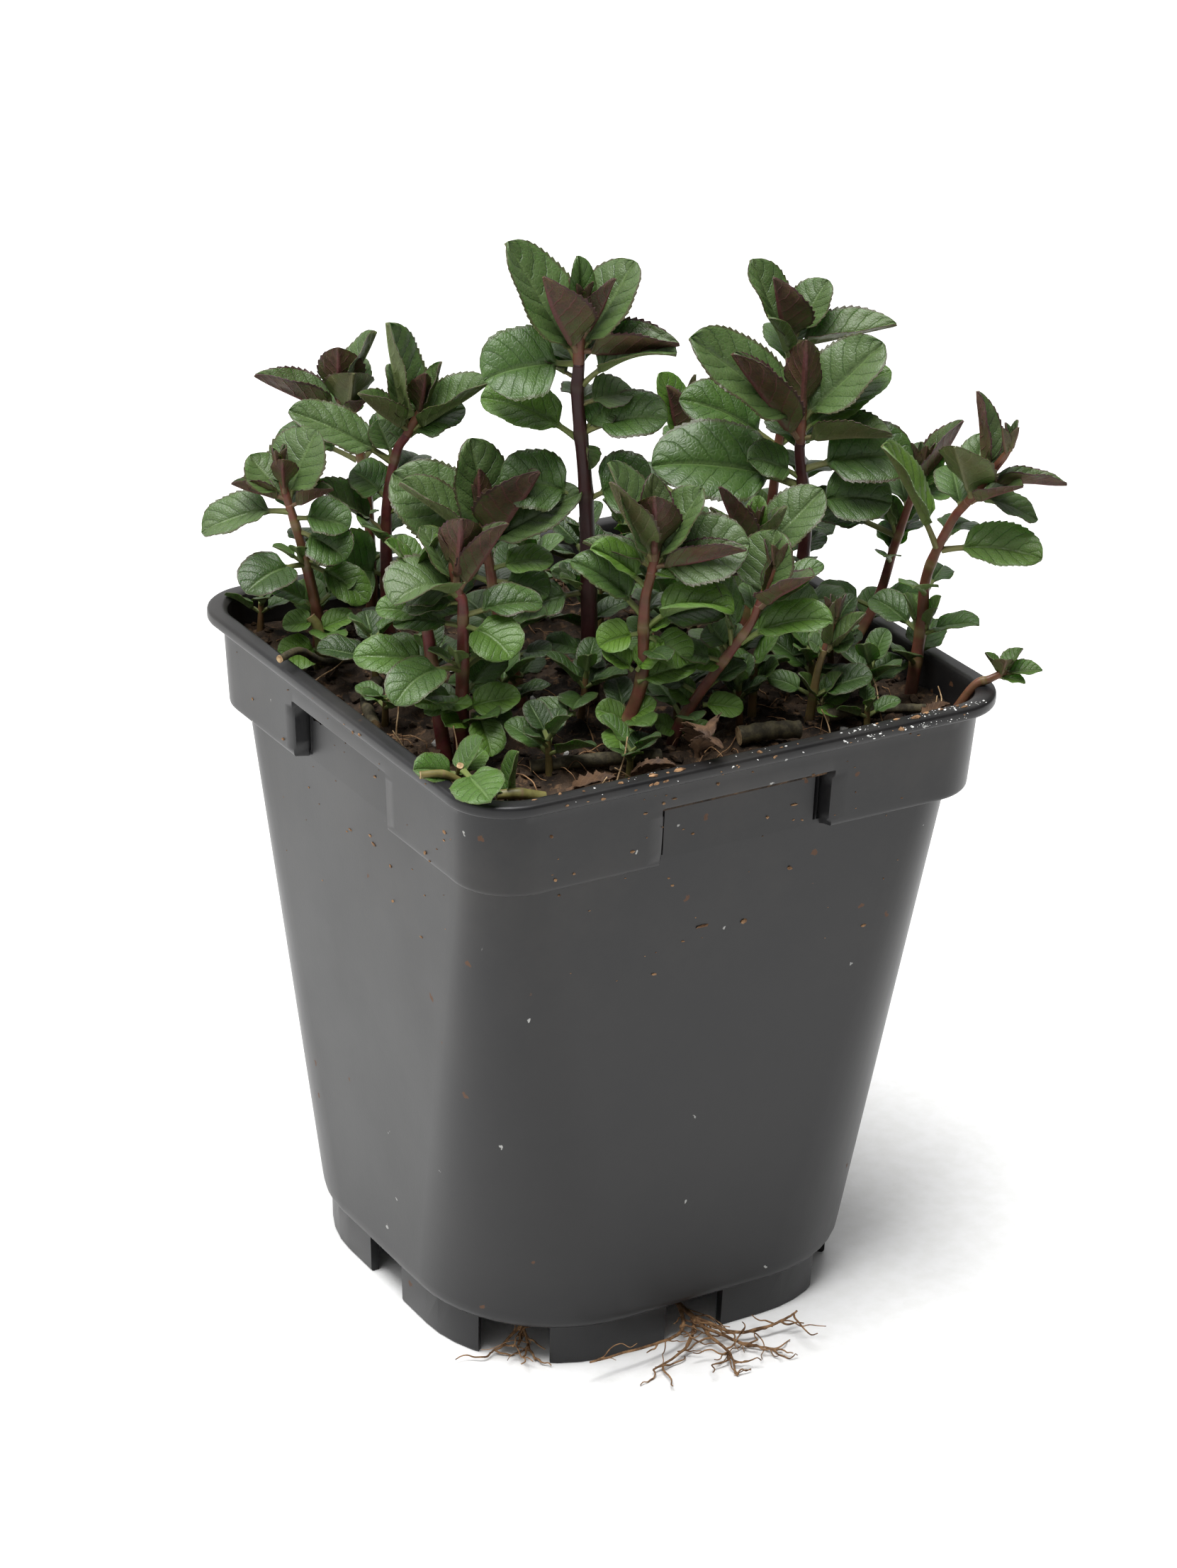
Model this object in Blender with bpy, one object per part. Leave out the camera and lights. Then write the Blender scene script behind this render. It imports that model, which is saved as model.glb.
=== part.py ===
"""Mint plant growing in a square nursery pot.

Sizes below are millimetres and become metres when a mesh is made. The pot's
axis is Z, its feet stand on Z = 0 and the front of the pot faces -Y.
Headings are degrees counter-clockwise from +X, rises are degrees above level.
"""
import math

import bmesh
import bpy
from mathutils import Vector

MM = 0.001

# Pot, all half widths across the flats.
RIM_HALF = 45.0
RIM_CORNER = 9.3
RIM_TOP = 100.0
LIP_HEIGHT = 1.9
COLLAR_HALF_TOP = 43.1
COLLAR_HALF_BOTTOM = 42.4
COLLAR_CORNER = 8.2
COLLAR_BOTTOM = 84.9
BODY_HALF_TOP = 40.3
BODY_CORNER_TOP = 9.0
BODY_HALF_BOTTOM = 35.2
BODY_CORNER_BOTTOM = 22.5
RECESS_HALF_LENGTH = 14.0
RECESS_HALF_WIDTH = 39.6
RECESS_TOP = 93.8
WALL = 0.9
FLOOR_UNDERSIDE = 6.5
FLOOR_TOP = 7.7
FOOT_HALF = 34.0
FOOT_CORNER = 21.6
FOOT_WALL = 1.3
SIDE_GAP = 10.0
CORNER_GAP = 11.0
DRAIN_RADIUS = 2.8
DRAIN_SIDE_REACH = 28.5
DRAIN_CORNER_REACH = 33.5

# Root ball and the clearances around it.
SOIL_GAP = 0.3
SOIL_EDGE_Z = 94.4
SOIL_CROWN_Z = 96.2
PLANT_DEPTH = 8.0
SOCKET_GAP = 0.4

# Stems and leaves.
STEM_SIDES = 8
RING_GAP = 0.45
RING_WALL = 0.75
RING_HALF_HEIGHT = 0.8
BUD_GAP = 0.3
LEAF_THICKNESS = 0.7
STALK_HALF = 0.42
# How wide a blade is along its length, as shares of the greatest width.
BLADE_OUTLINE = ((0.14, 0.66), (0.38, 1.0), (0.62, 0.88), (0.85, 0.48))

# One row per leaf: heading, rise, blade length, width, stalk, fold, curl.
# Crown leaves start with the height they grow from, pairs share one height.
SHOOTS = {
    "a": {
        "path": ((-17.5, 37, 95), (-17.5, 38.5, 113), (-19, 40, 123), (-20, 41, 126)),
        "crown": (
            (129, 170, 18, 12.5, 5.5, 0.5, 50, 0),
            (129.5, -126, 64, 8.5, 6, 0.5, 25, 0),
            (129.5, 40, 50, 10.5, 5.5, 0.5, 40, 0),
            (128.5, -80, 36, 9, 7, 1, 30, -10),
            (128.5, 85, 25, 7.5, 6.5, 1, 20, -20),
        ),
        "pairs": (
            (119, (140, 15, 9, 7, 3.5, 15, -20), (10, 32, 9, 7, 3, 15, -10)),
        ),
    },
    "b": {
        "path": ((-20, 27, 95), (-20, 28, 114), (-19, 27, 124), (-17.5, 26.5, 127)),
        "crown": (
            (130, 113, 66, 13, 6.5, 1, 32, 0),
            (129, 84, 30, 11, 8, 1, 15, -10),
            (128.5, 168, 34, 9, 4.5, 0.5, 50, 0),
            (129.5, -48, 33, 13.5, 6.5, 1, 40, -5),
            (129, 14, 18, 11, 7, 1, 20, 0),
            (129, -105, 22, 9, 5, 0.5, 45, 0),
        ),
        "pairs": (
            (123.5, (128, 6, 13.5, 7.5, 3, 12, -15), (-57, 13, 9.5, 6, 1.5, 20, -20)),
            (104, (168, 38, 12.5, 11, 1.5, 12, -10), (0, 25, 9, 9, 1.5, 12, -20)),
        ),
    },
    "c": {
        "path": ((-33, 25, 95), (-33, 25, 101), (-35, 26, 112), (-36.5, 27.5, 119)),
        "crown": (
            (122, 58, 42, 10.5, 10, 1, 15, -25),
            (121.5, 125, 30, 9, 6, 1, 20, -10),
            (122.5, -168, 9, 8, 3.5, 0.5, 50, 0),
            (121, -55, 14, 8.5, 5, 0.5, 50, 0),
            (122, -115, 52, 6.5, 5, 0.5, 30, 0),
        ),
        "pairs": (
            (116, (157, -2, 10, 6, 3.5, 20, -35), (-23, 10, 9, 6, 2, 20, -20)),
            (110, (-163, -4, 8.5, 8.5, 3, 12, -35), (-35, -30, 8, 6.5, 2, 12, -10)),
        ),
    },
    "d": {
        "path": ((-6, -9, 95), (-7, -9, 115), (-8, -9, 130), (-9, -8, 142), (-9, -8, 147.5)),
        "crown": (
            (150, 112, 46, 15.5, 10, 1.5, 12, -12),
            (151.5, 20, 41, 12.5, 9, 1.5, 15, -8),
            (154.5, 66, 52, 8, 3.5, 0.5, 35, 0),
            (152, -175, 50, 10, 6, 0.5, 48, 0),
            (152, -70, 54, 9.5, 5, 0.5, 42, 0),
            (149.5, -56, 13, 14.5, 6.5, 1.5, 52, 0),
            (149.5, 2, 6, 14, 7, 1, 20, 0),
        ),
        "pairs": (
            (144, (175, 12, 11.5, 9, 2.5, 10, -15), (-2, -2, 9, 6, 1, 20, -10)),
            (137, (112, 6, 11, 9, 6, 12, -20), (-62, 20, 10, 7, 4, 20, -10)),
            (128, (115, 20, 9, 7.5, 3, 12, -20), (-50, 10, 8, 7.5, 2.5, 12, -20)),
            (113, (166, -14, 8.5, 8, 2, 12, -20), (40, 8, 9, 8, 2, 12, -20)),
        ),
    },
    "e1": {
        "path": ((37, 12, 95), (38, 11, 118), (39, 10, 136)),
        "crown": (
            (138.6, 92, 38, 14, 6, 1, 20, 0),
            (139.5, -174, 58, 10.5, 7, 0.5, 22, 0),
            (139.5, 28, 36, 11.5, 7, 0.5, 20, 0),
            (138.6, -48, 15, 14.5, 5.5, 1, 42, 0),
        ),
        "pairs": (
            (121.5, (158, 34, 11, 8, 5.5, 12, -10), (20, 15, 9, 7, 3, 15, -20)),
            (108, (75, 10, 9, 8, 2, 12, -20), (-60, 12, 8, 7, 2, 12, -20)),
        ),
    },
    "e2": {
        "path": ((29, -7, 95.6), (31, -8, 114), (30, -7, 127), (30, -7, 129)),
        "crown": (
            (135, 148, 28, 16.5, 8.5, 2.5, 18, -6),
            (134.5, 172, 38, 13.5, 6, 1, 48, 0),
            (137, 88, 46, 12, 5.5, 0.5, 30, 0),
            (136.5, -123, 60, 9.5, 4.5, 0.5, 42, 0),
            (136.5, 8, 22, 13, 8, 1, 25, 0),
            (133, 30, 4, 13.5, 8, 1, 12, -5),
            (131, -68, 16, 14.5, 6.5, 1.5, 30, -25),
        ),
        "pairs": (
            (122.5, (129, 3, 15.5, 10, 3.5, 12, -10), (-16, 22, 15, 9, 5, 20, -10)),
        ),
    },
    "f": {
        "path": ((29, 24, 95.4), (29.5, 24, 110), (29.5, 24, 118)),
        "crown": (
            (121.5, 148, 34, 8.5, 6, 0.5, 20, 0),
            (122, -80, 66, 6.5, 4, 0.5, 35, 0),
            (121, 72, 12, 22, 8, 1, 15, -15),
            (121, -15, 25, 7, 6, 0.5, 20, 0),
        ),
        "pairs": (),
    },
    "g": {
        "path": ((36, -12.5, 95), (41.5, -12.5, 104), (44, -12.5, 112), (45.5, -14, 120)),
        "crown": (
            (123.7, -68, 58, 11.5, 5.5, 0.5, 35, 0),
            (123, 32, 14, 5, 6, 0.5, 18, 0),
            (123.7, 155, 30, 5, 4, 0.5, 35, 0),
        ),
        "pairs": (
            (114, (138, 18, 10.5, 7.5, 4.5, 15, -10), (55, 10, 7, 7, 1, 15, -10)),
        ),
    },
    "h": {
        "path": ((39, -26, 95), (40.5, -25.5, 105), (40.5, -26, 113), (42, -29, 122),
                 (43, -31.5, 126)),
        "crown": (
            (133, 177, 70, 11.5, 4, 0.5, 52, 0),
            (134, 5, 56, 6.5, 5, 0.5, 30, 15),
            (132.5, -64, 4, 11.5, 5, 0.5, 30, 0),
            (129.5, -68, 27, 10, 9, 1, 30, -10),
            (130, -50, -12, 10, 6, 1, 15, 0),
        ),
        "pairs": (
            (115, (133, 56, 13, 6.5, 6.5, 25, -10), (-60, 20, 14, 8.5, 4.5, 15, -10)),
            (104, (110, 20, 7, 6, 1.5, 20, -10), (-64, 24, 7.5, 5, 1.5, 20, -10)),
        ),
    },
    "i": {
        "path": ((-16, -6, 96.2), (-17, -5, 101), (-19, -4, 110), (-20.5, -3, 120)),
        "crown": (
            (124.5, 75, 46, 12, 7.5, 0.5, 15, 0),
            (124, -62, 52, 11.5, 7.5, 0.5, 25, 0),
            (123, 164, 29, 13.5, 6.5, 0.5, 38, 0),
            (122.5, 122, 24, 15, 8, 1, 14, -5),
            (123, -38, 24, 13, 6.5, 1.5, 16, 0),
        ),
        "pairs": (
            (114, (-58, 28, 7, 7.5, 5, 15, 0), (140, 12, 7, 7, 3.5, 15, -20)),
            (107, (-66, 38, 6.5, 5, 1.5, 20, 0), (100, 20, 7, 7, 1.5, 15, -10)),
        ),
    },
    "j": {
        "path": ((-31, -15, 95.5), (-31, -15, 116), (-31.5, -14.5, 119)),
        "crown": (
            (122, -112, 64, 9, 5, 0.5, 32, 0),
            (121.5, -68, 54, 11.5, 3.6, 0.5, 46, 0),
            (122, 88, 24, 10, 6.5, 1, 20, -5),
            (121.7, 150, 16, 9, 6, 1, 15, -10),
            (122.5, 15, 40, 8, 5, 0.5, 20, 0),
        ),
        "pairs": (
            (115.5, (-164, 22, 10.5, 7, 4, 15, -75), (-84, -4, 10, 7.5, 3, 12, -45)),
            (108, (-160, -3, 9.5, 7.5, 4.5, 12, -60), (10, 10, 7, 6, 2, 15, -20)),
        ),
    },
    "k": {
        "path": ((-10, -25, 96), (-10, -25, 98), (-8, -26, 106), (-8, -26, 117), (-7, -26, 122)),
        "crown": (
            (125.5, 88, 34, 12, 6.5, 0.5, 22, 0),
            (125.5, 172, 58, 9.5, 7, 0.5, 25, 0),
            (124.5, 178, 17, 10.5, 4.5, 0.5, 50, 0),
            (125.5, -130, 70, 9.5, 6, 0.5, 25, 0),
            (125, 20, 36, 11.5, 6, 0.5, 25, 0),
            (124.5, -30, 20, 13.5, 8.5, 1, 20, 0),
            (124.5, -62, 20, 12.5, 5.5, 1, 48, 0),
        ),
        "pairs": (
            (114, (172, 42, 10, 8, 5.5, 15, -25), (-62, 20, 10.5, 5.5, 5, 45, -15)),
            (106, (165, 8, 7, 6.5, 1.5, 12, -20), (-5, 0, 7.5, 6.5, 1.5, 12, -10)),
        ),
    },
    "l": {
        "path": ((16, -12, 96.2), (18, -14, 109), (18, -14, 114.5)),
        "crown": (
            (117.6, 171, 55, 10.5, 5, 0.5, 38, 0),
            (117.6, -88, 52, 9.5, 5, 0.5, 38, 0),
            (118.5, 5, 32, 11.5, 6.5, 1, 20, 0),
            (118, 95, 12, 10.5, 5, 0.5, 38, 0),
        ),
        "pairs": (
            (107, (125, 10, 9, 8, 2, 12, -20), (-20, 8, 8, 7, 2, 12, -20)),
        ),
    },
    "m": {
        "path": ((-3, -27, 96), (-1, -28, 101), (2, -30, 107), (5.5, -32.5, 114), (6.5, -33, 117)),
        "crown": (
            (121.5, 48, 34, 9, 8, 1, 10, -5),
            (120, -70, 34, 10.5, 7.5, 0.5, 20, 0),
            (120.5, 155, 40, 6, 4, 0.5, 35, 0),
        ),
        "pairs": (
            (112.5, (165, 48, 8, 6.5, 5, 35, -10), (-56, 18, 9.5, 7, 4.5, 15, -25)),
            (108.5, (165, 16, 5, 5.5, 1.5, 15, -10), (75, 8, 7.5, 7, 1.5, 12, -10)),
        ),
    },
    "n": {
        "path": ((19, -29, 95.5), (20, -29, 103), (21, -29, 106)),
        "crown": (
            (108.5, 150, 12, 6, 5, 0.5, 15, -10),
            (108.5, -30, 14, 6, 5, 0.5, 15, -10),
            (109, 60, 50, 5, 3, 0.5, 25, 0),
        ),
        "pairs": (),
    },
}
STEM_BASE_RADIUS = 1.25
STEM_TOP_RADIUS = 0.95
THIN_SHOOTS = ("n",)
THIN_SHARE = 0.7

# Cut runners lying on the soil: two ends and a radius.
RUNNERS = {
    "runner_front": ((4.5, -32.5, 97.2), (13.5, -34.5, 97.2), 1.4),
}

# Root strands below the pot, each a chain of points and a starting radius.
ROOTS = {
    "roots_front": (
        (((0, -28.4, 7.4), (0, -29, 3.6), (0.5, -34.5, 2.6), (0.5, -38, 1.6)), 0.9),
        (((0, -29.5, 3.4), (-3, -35.6, 2.8), (-9, -37.6, 3.2), (-21, -38.6, 4.0)), 0.55),
        (((0.4, -34, 2.6), (-4, -38.6, 1.4), (-11, -40.6, 0.6)), 0.5),
        (((0.4, -33.5, 2.6), (5, -39, 1.6), (12, -40.4, 2.2), (15, -40, 3.0)), 0.5),
        (((0.5, -36, 2.2), (5, -41.5, 0.9), (9, -44.6, 0.6)), 0.45),
        (((0.5, -37, 1.8), (1, -43, 1.0), (-1, -47.4, 0.6)), 0.45),
    ),
    "roots_corner": (
        (((-23.4, -23.4, 7.4), (-24, -24, 3.4), (-25.6, -25.6, 1.4)), 0.7),
        (((-24, -24, 3.4), (-27.6, -25, 1.2), (-29.6, -25.4, 0.7)), 0.45),
        (((-24, -24, 3.4), (-24.6, -27.4, 1.2), (-25, -29.6, 0.6)), 0.45),
    ),
}
ROOT_SIDES = 6

COLOURS = {
    "pot": ((0.035, 0.036, 0.039), 0.45),
    "soil": ((0.045, 0.026, 0.016), 0.95),
    "root": ((0.33, 0.19, 0.10), 0.8),
    "runner": ((0.16, 0.17, 0.07), 0.7),
    "stem": ((0.24, 0.055, 0.07), 0.5),
    "crown": ((0.10, 0.14, 0.06), 0.5),
    "leaf": ((0.07, 0.19, 0.045), 0.45),
}


def start_empty():
    """Remove whatever the new file holds."""
    for thing in list(bpy.data.objects):
        bpy.data.objects.remove(thing, do_unlink=True)


def make_material(name, look):
    """A plain material for one part."""
    colour, roughness = COLOURS[look]
    material = bpy.data.materials.new(name)
    material.use_nodes = True
    shader = material.node_tree.nodes["Principled BSDF"]
    shader.inputs["Base Color"].default_value = (*colour, 1.0)
    shader.inputs["Roughness"].default_value = roughness
    material.diffuse_color = (*colour, 1.0)
    return material


def add_body(name, points, faces):
    """Make one mesh object from points in millimetres."""
    mesh = bpy.data.meshes.new(name)
    mesh.from_pydata([tuple(Vector(p) * MM) for p in points], [], faces)
    work = bmesh.new()
    work.from_mesh(mesh)
    bmesh.ops.recalc_face_normals(work, faces=work.faces)
    work.to_mesh(mesh)
    work.free()
    body = bpy.data.objects.new(name, mesh)
    bpy.context.scene.collection.objects.link(body)
    return body


def combine(target, tools, operation):
    """Run exact Booleans in turn, keep the result and drop the tools."""
    for tool in tools:
        step = target.modifiers.new(operation.lower(), "BOOLEAN")
        step.operation = operation
        step.solver = "EXACT"
        step.object = tool
    bpy.context.view_layer.update()
    graph = bpy.context.evaluated_depsgraph_get()
    solid = bpy.data.meshes.new_from_object(target.evaluated_get(graph))
    target.modifiers.clear()
    target.data = solid
    for tool in tools:
        bpy.data.objects.remove(tool, do_unlink=True)
    work = bmesh.new()
    work.from_mesh(solid)
    bmesh.ops.remove_doubles(work, verts=work.verts, dist=0.000002)
    bmesh.ops.dissolve_degenerate(work, edges=work.edges, dist=0.000002)
    work.to_mesh(solid)
    work.free()
    return target


def finish(body, look, smooth):
    """Give a body its name, own material and shading."""
    body.data.name = body.name
    body.data.materials.clear()
    body.data.materials.append(make_material(body.name, look))
    for polygon in body.data.polygons:
        polygon.use_smooth = smooth
        polygon.material_index = 0


def loft(name, rings):
    """Close a chain of equal rings of points into one solid."""
    count = len(rings[0])
    points = [p for ring in rings for p in ring]
    faces = [tuple(reversed(range(count)))]
    for level in range(len(rings) - 1):
        low = level * count
        for k in range(count):
            nxt = (k + 1) % count
            faces.append((low + k, low + nxt, low + count + nxt, low + count + k))
    faces.append(tuple(range(len(points) - count, len(points))))
    return add_body(name, points, faces)


def box(name, low, high):
    """An axis-aligned block between two corners."""
    (x0, y0, z0), (x1, y1, z1) = low, high
    return loft(name, [[(x0, y0, z), (x1, y0, z), (x1, y1, z), (x0, y1, z)] for z in (z0, z1)])


def turned(points, degrees):
    """Turn points about the pot's axis."""
    c, s = math.cos(math.radians(degrees)), math.sin(math.radians(degrees))
    return [(c * x - s * y, s * x + c * y, z) for x, y, z in points]


def rounded_square(half, corner, z, steps=6):
    """A square outline with round corners."""
    outline = []
    for quarter, (sx, sy) in enumerate(((1, 1), (-1, 1), (-1, -1), (1, -1))):
        for k in range(steps + 1):
            angle = math.radians(90 * quarter + 90 * k / steps)
            x = sx * (half - corner) + corner * math.cos(angle)
            y = sy * (half - corner) + corner * math.sin(angle)
            outline.append((x, y, z))
    return outline


def rod(name, low, high, radius, sides=8):
    """A round bar between two points stacked along Z."""
    rings = []
    for x, y, z in (low, high):
        turn = [2 * math.pi * k / sides for k in range(sides)]
        rings.append([(x + radius * math.cos(a), y + radius * math.sin(a), z) for a in turn])
    return loft(name, rings)


def body_section(z, inset):
    """The tapered wall's outline at a height, moved inwards."""
    share = (z - FLOOR_UNDERSIDE) / (COLLAR_BOTTOM - FLOOR_UNDERSIDE)
    half = BODY_HALF_BOTTOM + share * (BODY_HALF_TOP - BODY_HALF_BOTTOM) - inset
    corner = BODY_CORNER_BOTTOM + share * (BODY_CORNER_TOP - BODY_CORNER_BOTTOM) - inset
    return rounded_square(half, max(corner, 2.0), z)


def recess_tools(inset, top):
    """Blocks that hollow out the middle of each side under the rim band."""
    reach = RECESS_HALF_LENGTH + inset
    inner = RECESS_HALF_WIDTH - inset
    tools = []
    for turn in (0, 90, 180, 270):
        rings = []
        for along in (-reach, reach):
            ring = [(along, -(inner + 0.7), COLLAR_BOTTOM - 0.5), (along, -60, COLLAR_BOTTOM - 0.5),
                    (along, -60, top), (along, -inner, top), (along, -(inner + 0.15), COLLAR_BOTTOM + 1)]
            rings.append(turned(ring, turn))
        tools.append(loft("recess", rings))
    return tools


def pot_form(name, inset, low, high, rim_rings):
    """The pot's stepped outer form, or the same form set inwards."""
    levels = [low, low + 1, 20, 34, 48, 62, 76, COLLAR_BOTTOM, high]
    form = loft(name, [body_section(z, inset + (0.5 if z == low else 0)) for z in levels])
    collar = [
        rounded_square(COLLAR_HALF_BOTTOM - 0.4 - inset, COLLAR_CORNER - 0.4 - inset, COLLAR_BOTTOM + inset),
        rounded_square(COLLAR_HALF_BOTTOM - inset, COLLAR_CORNER - inset, COLLAR_BOTTOM + 0.5 + inset),
    ]
    ring = loft("collar", collar + rim_rings)
    form = combine(form, [ring], "UNION")
    return combine(form, recess_tools(inset, RECESS_TOP + inset), "DIFFERENCE")


def build_pot():
    """The thin moulded pot with its stepped rim, floor, feet and drain holes."""
    lip = RIM_TOP - LIP_HEIGHT
    outer_rim = [
        rounded_square(COLLAR_HALF_TOP, COLLAR_CORNER, lip),
        rounded_square(RIM_HALF - 0.3, RIM_CORNER - 0.3, lip + 0.05),
        rounded_square(RIM_HALF, RIM_CORNER, lip + 0.35),
        rounded_square(RIM_HALF, RIM_CORNER, RIM_TOP - 0.35),
        rounded_square(RIM_HALF - 0.35, RIM_CORNER - 0.35, RIM_TOP),
    ]
    inner_rim = [
        rounded_square(COLLAR_HALF_TOP - WALL, COLLAR_CORNER - WALL, RIM_TOP - 0.2),
        rounded_square(COLLAR_HALF_TOP - WALL + 0.3, COLLAR_CORNER - WALL + 0.3, RIM_TOP + 0.4),
    ]
    pot = pot_form("pot", 0.0, FLOOR_UNDERSIDE, RECESS_TOP + 0.6, outer_rim)
    inside = pot_form("inside", WALL, FLOOR_TOP, RECESS_TOP + 1.5, inner_rim)
    pot = combine(pot, [inside], "DIFFERENCE")

    top = FLOOR_UNDERSIDE + 0.6
    ring = loft("ring", [rounded_square(FOOT_HALF, FOOT_CORNER, z) for z in (0, top)])
    inner = FOOT_HALF - FOOT_WALL
    middle = loft("middle", [rounded_square(inner, FOOT_CORNER - FOOT_WALL, z)
                             for z in (-1, FLOOR_UNDERSIDE)])
    cuts = [middle]
    for turn in range(0, 360, 45):
        half = (SIDE_GAP if turn % 90 == 0 else CORNER_GAP) / 2
        corners = [(24, -half), (60, -half), (60, half), (24, half)]
        cuts.append(loft("gap", [turned([(x, y, z) for x, y in corners], turn)
                                 for z in (-1, FLOOR_UNDERSIDE)]))
    ring = combine(ring, cuts, "DIFFERENCE")
    pot = combine(pot, [ring], "UNION")

    drains = []
    for turn in range(0, 360, 45):
        reach = DRAIN_SIDE_REACH if turn % 90 == 0 else DRAIN_CORNER_REACH
        x, y, z = turned([(reach, 0, 0)], turn)[0]
        drains.append(rod("drain", (x, y, 4), (x, y, 10), DRAIN_RADIUS, 12))
    pot = combine(pot, drains, "DIFFERENCE")
    finish(pot, "pot", False)
    return pot


def soil_height(x, y):
    """Level of the soil where a stem comes out of it."""
    reach = max(abs(x), abs(y))
    return SOIL_CROWN_Z - (SOIL_CROWN_Z - SOIL_EDGE_Z) * min(1.0, reach / 42.0) ** 2


def build_soil():
    """The root ball, with a planting hole for each stem."""
    inset = WALL + SOIL_GAP
    half = COLLAR_HALF_TOP - inset - 0.4
    corner = COLLAR_CORNER - inset
    top_rings = [rounded_square(half - 0.1, corner, SOIL_EDGE_Z)]
    for share in (0.86, 0.64, 0.36, 0.1):
        reach = half * share
        top_rings.append(rounded_square(reach, max(corner * share, 0.5), soil_height(reach, 0)))
    soil = pot_form("soil", inset, FLOOR_TOP + SOIL_GAP, SOIL_EDGE_Z - 0.5, top_rings)
    holes = []
    for name, shoot in SHOOTS.items():
        x, y, z = shoot["path"][0]
        radius = stem_radius(name, 0.0) + SOCKET_GAP
        holes.append(rod("hole", (x, y, z - PLANT_DEPTH - SOCKET_GAP), (x, y, 99), radius))
    soil = combine(soil, holes, "DIFFERENCE")
    finish(soil, "soil", False)
    return soil


def stem_radius(name, share):
    """Radius of a stem, from its foot (0) to its top (1)."""
    radius = STEM_BASE_RADIUS + share * (STEM_TOP_RADIUS - STEM_BASE_RADIUS)
    return radius * (THIN_SHARE if name in THIN_SHOOTS else 1.0)


def stem_point(name, z):
    """Where a stem's middle line passes a height, carried on above its top."""
    path = SHOOTS[name]["path"]
    low, high = path[-2], path[-1]
    for a, b in zip(path, path[1:]):
        if z <= b[2]:
            low, high = a, b
            break
    share = (z - low[2]) / (high[2] - low[2])
    if z < path[0][2]:
        share = 0.0
    return Vector((low[0] + share * (high[0] - low[0]), low[1] + share * (high[1] - low[1]), z))


def stem_share(name, z):
    """How far up its stem a height is."""
    path = SHOOTS[name]["path"]
    return min(1.0, max(0.0, (z - path[0][2]) / (path[-1][2] - path[0][2])))


def level_ring(centre, radius, sides):
    """A flat ring of points round a centre."""
    turns = [2 * math.pi * (k + 0.5) / sides for k in range(sides)]
    return [(centre[0] + radius * math.cos(a), centre[1] + radius * math.sin(a), centre[2])
            for a in turns]


def build_stem(name):
    """A tapering stem from its planting hole to just under the crown."""
    path = SHOOTS[name]["path"]
    foot = path[0]
    rings = [level_ring((foot[0], foot[1], foot[2] - PLANT_DEPTH), stem_radius(name, 0), STEM_SIDES)]
    for point in path:
        rings.append(level_ring(point, stem_radius(name, stem_share(name, point[2])), STEM_SIDES))
    stem = loft("stem_" + name, rings)
    finish(stem, "stem", True)
    return stem


def leaf_solid(root, heading, rise, blade, width, stalk, fold, curl):
    """One folded leaf blade on its stalk, as a closed thin wedge."""
    heading = math.radians(heading)
    lean = math.radians(fold)
    length = stalk + blade
    stations = [(0.0, STALK_HALF), (stalk, STALK_HALF)]
    stations += [(stalk + u * blade, share * width / 2) for u, share in BLADE_OUTLINE]
    side = Vector((-math.sin(heading), math.cos(heading), 0))
    point = Vector(root)
    last = 0.0
    rings = []
    for reach, half in stations + [(length, 0.0)]:
        angle = math.radians(rise + curl * ((reach + last) / 2 / length - 0.5))
        ahead = Vector((math.cos(angle) * math.cos(heading), math.cos(angle) * math.sin(heading),
                        math.sin(angle)))
        point = point + ahead * (reach - last)
        last = reach
        up = ahead.cross(side)
        if half == 0.0:
            tip = point
            break
        thick = LEAF_THICKNESS / 2
        spread = half if reach > stalk else STALK_HALF
        drop = lean if reach > stalk else 0.0
        rings.append([point + side * spread * math.cos(drop) + up * spread * math.sin(drop),
                      point + up * thick,
                      point - side * spread * math.cos(drop) + up * spread * math.sin(drop),
                      point - up * thick])
    points = [p for ring in rings for p in ring] + [tip]
    faces = [(3, 2, 1, 0)]
    for level in range(len(rings) - 1):
        low = 4 * level
        for k in range(4):
            nxt = (k + 1) % 4
            faces.append((low + k, low + nxt, low + 4 + nxt, low + 4 + k))
    last_ring = 4 * (len(rings) - 1)
    for k in range(4):
        faces.append((last_ring + k, last_ring + (k + 1) % 4, len(points) - 1))
    body = add_body("leaf", points, faces)
    work = bmesh.new()
    work.from_mesh(body.data)
    bmesh.ops.triangulate(work, faces=work.faces)
    work.to_mesh(body.data)
    work.free()
    return body


def build_crown(name):
    """The growing tip: a short bud with the young leaves around it."""
    rows = SHOOTS[name]["crown"]
    low = SHOOTS[name]["path"][-1][2] + BUD_GAP
    high = max(row[0] for row in rows) + 2.0
    base = stem_radius(name, 1.0)
    sizes = ((low, base), (low + 0.6, base + 0.15), (high - 1.7, base), (high, 0.3))
    bud = loft("crown_" + name, [level_ring(stem_point(name, z), r, STEM_SIDES) for z, r in sizes])
    leaves = [leaf_solid(stem_point(name, row[0]), *row[1:]) for row in rows]
    crown = combine(bud, leaves, "UNION")
    finish(crown, "crown", False)
    return crown


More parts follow.
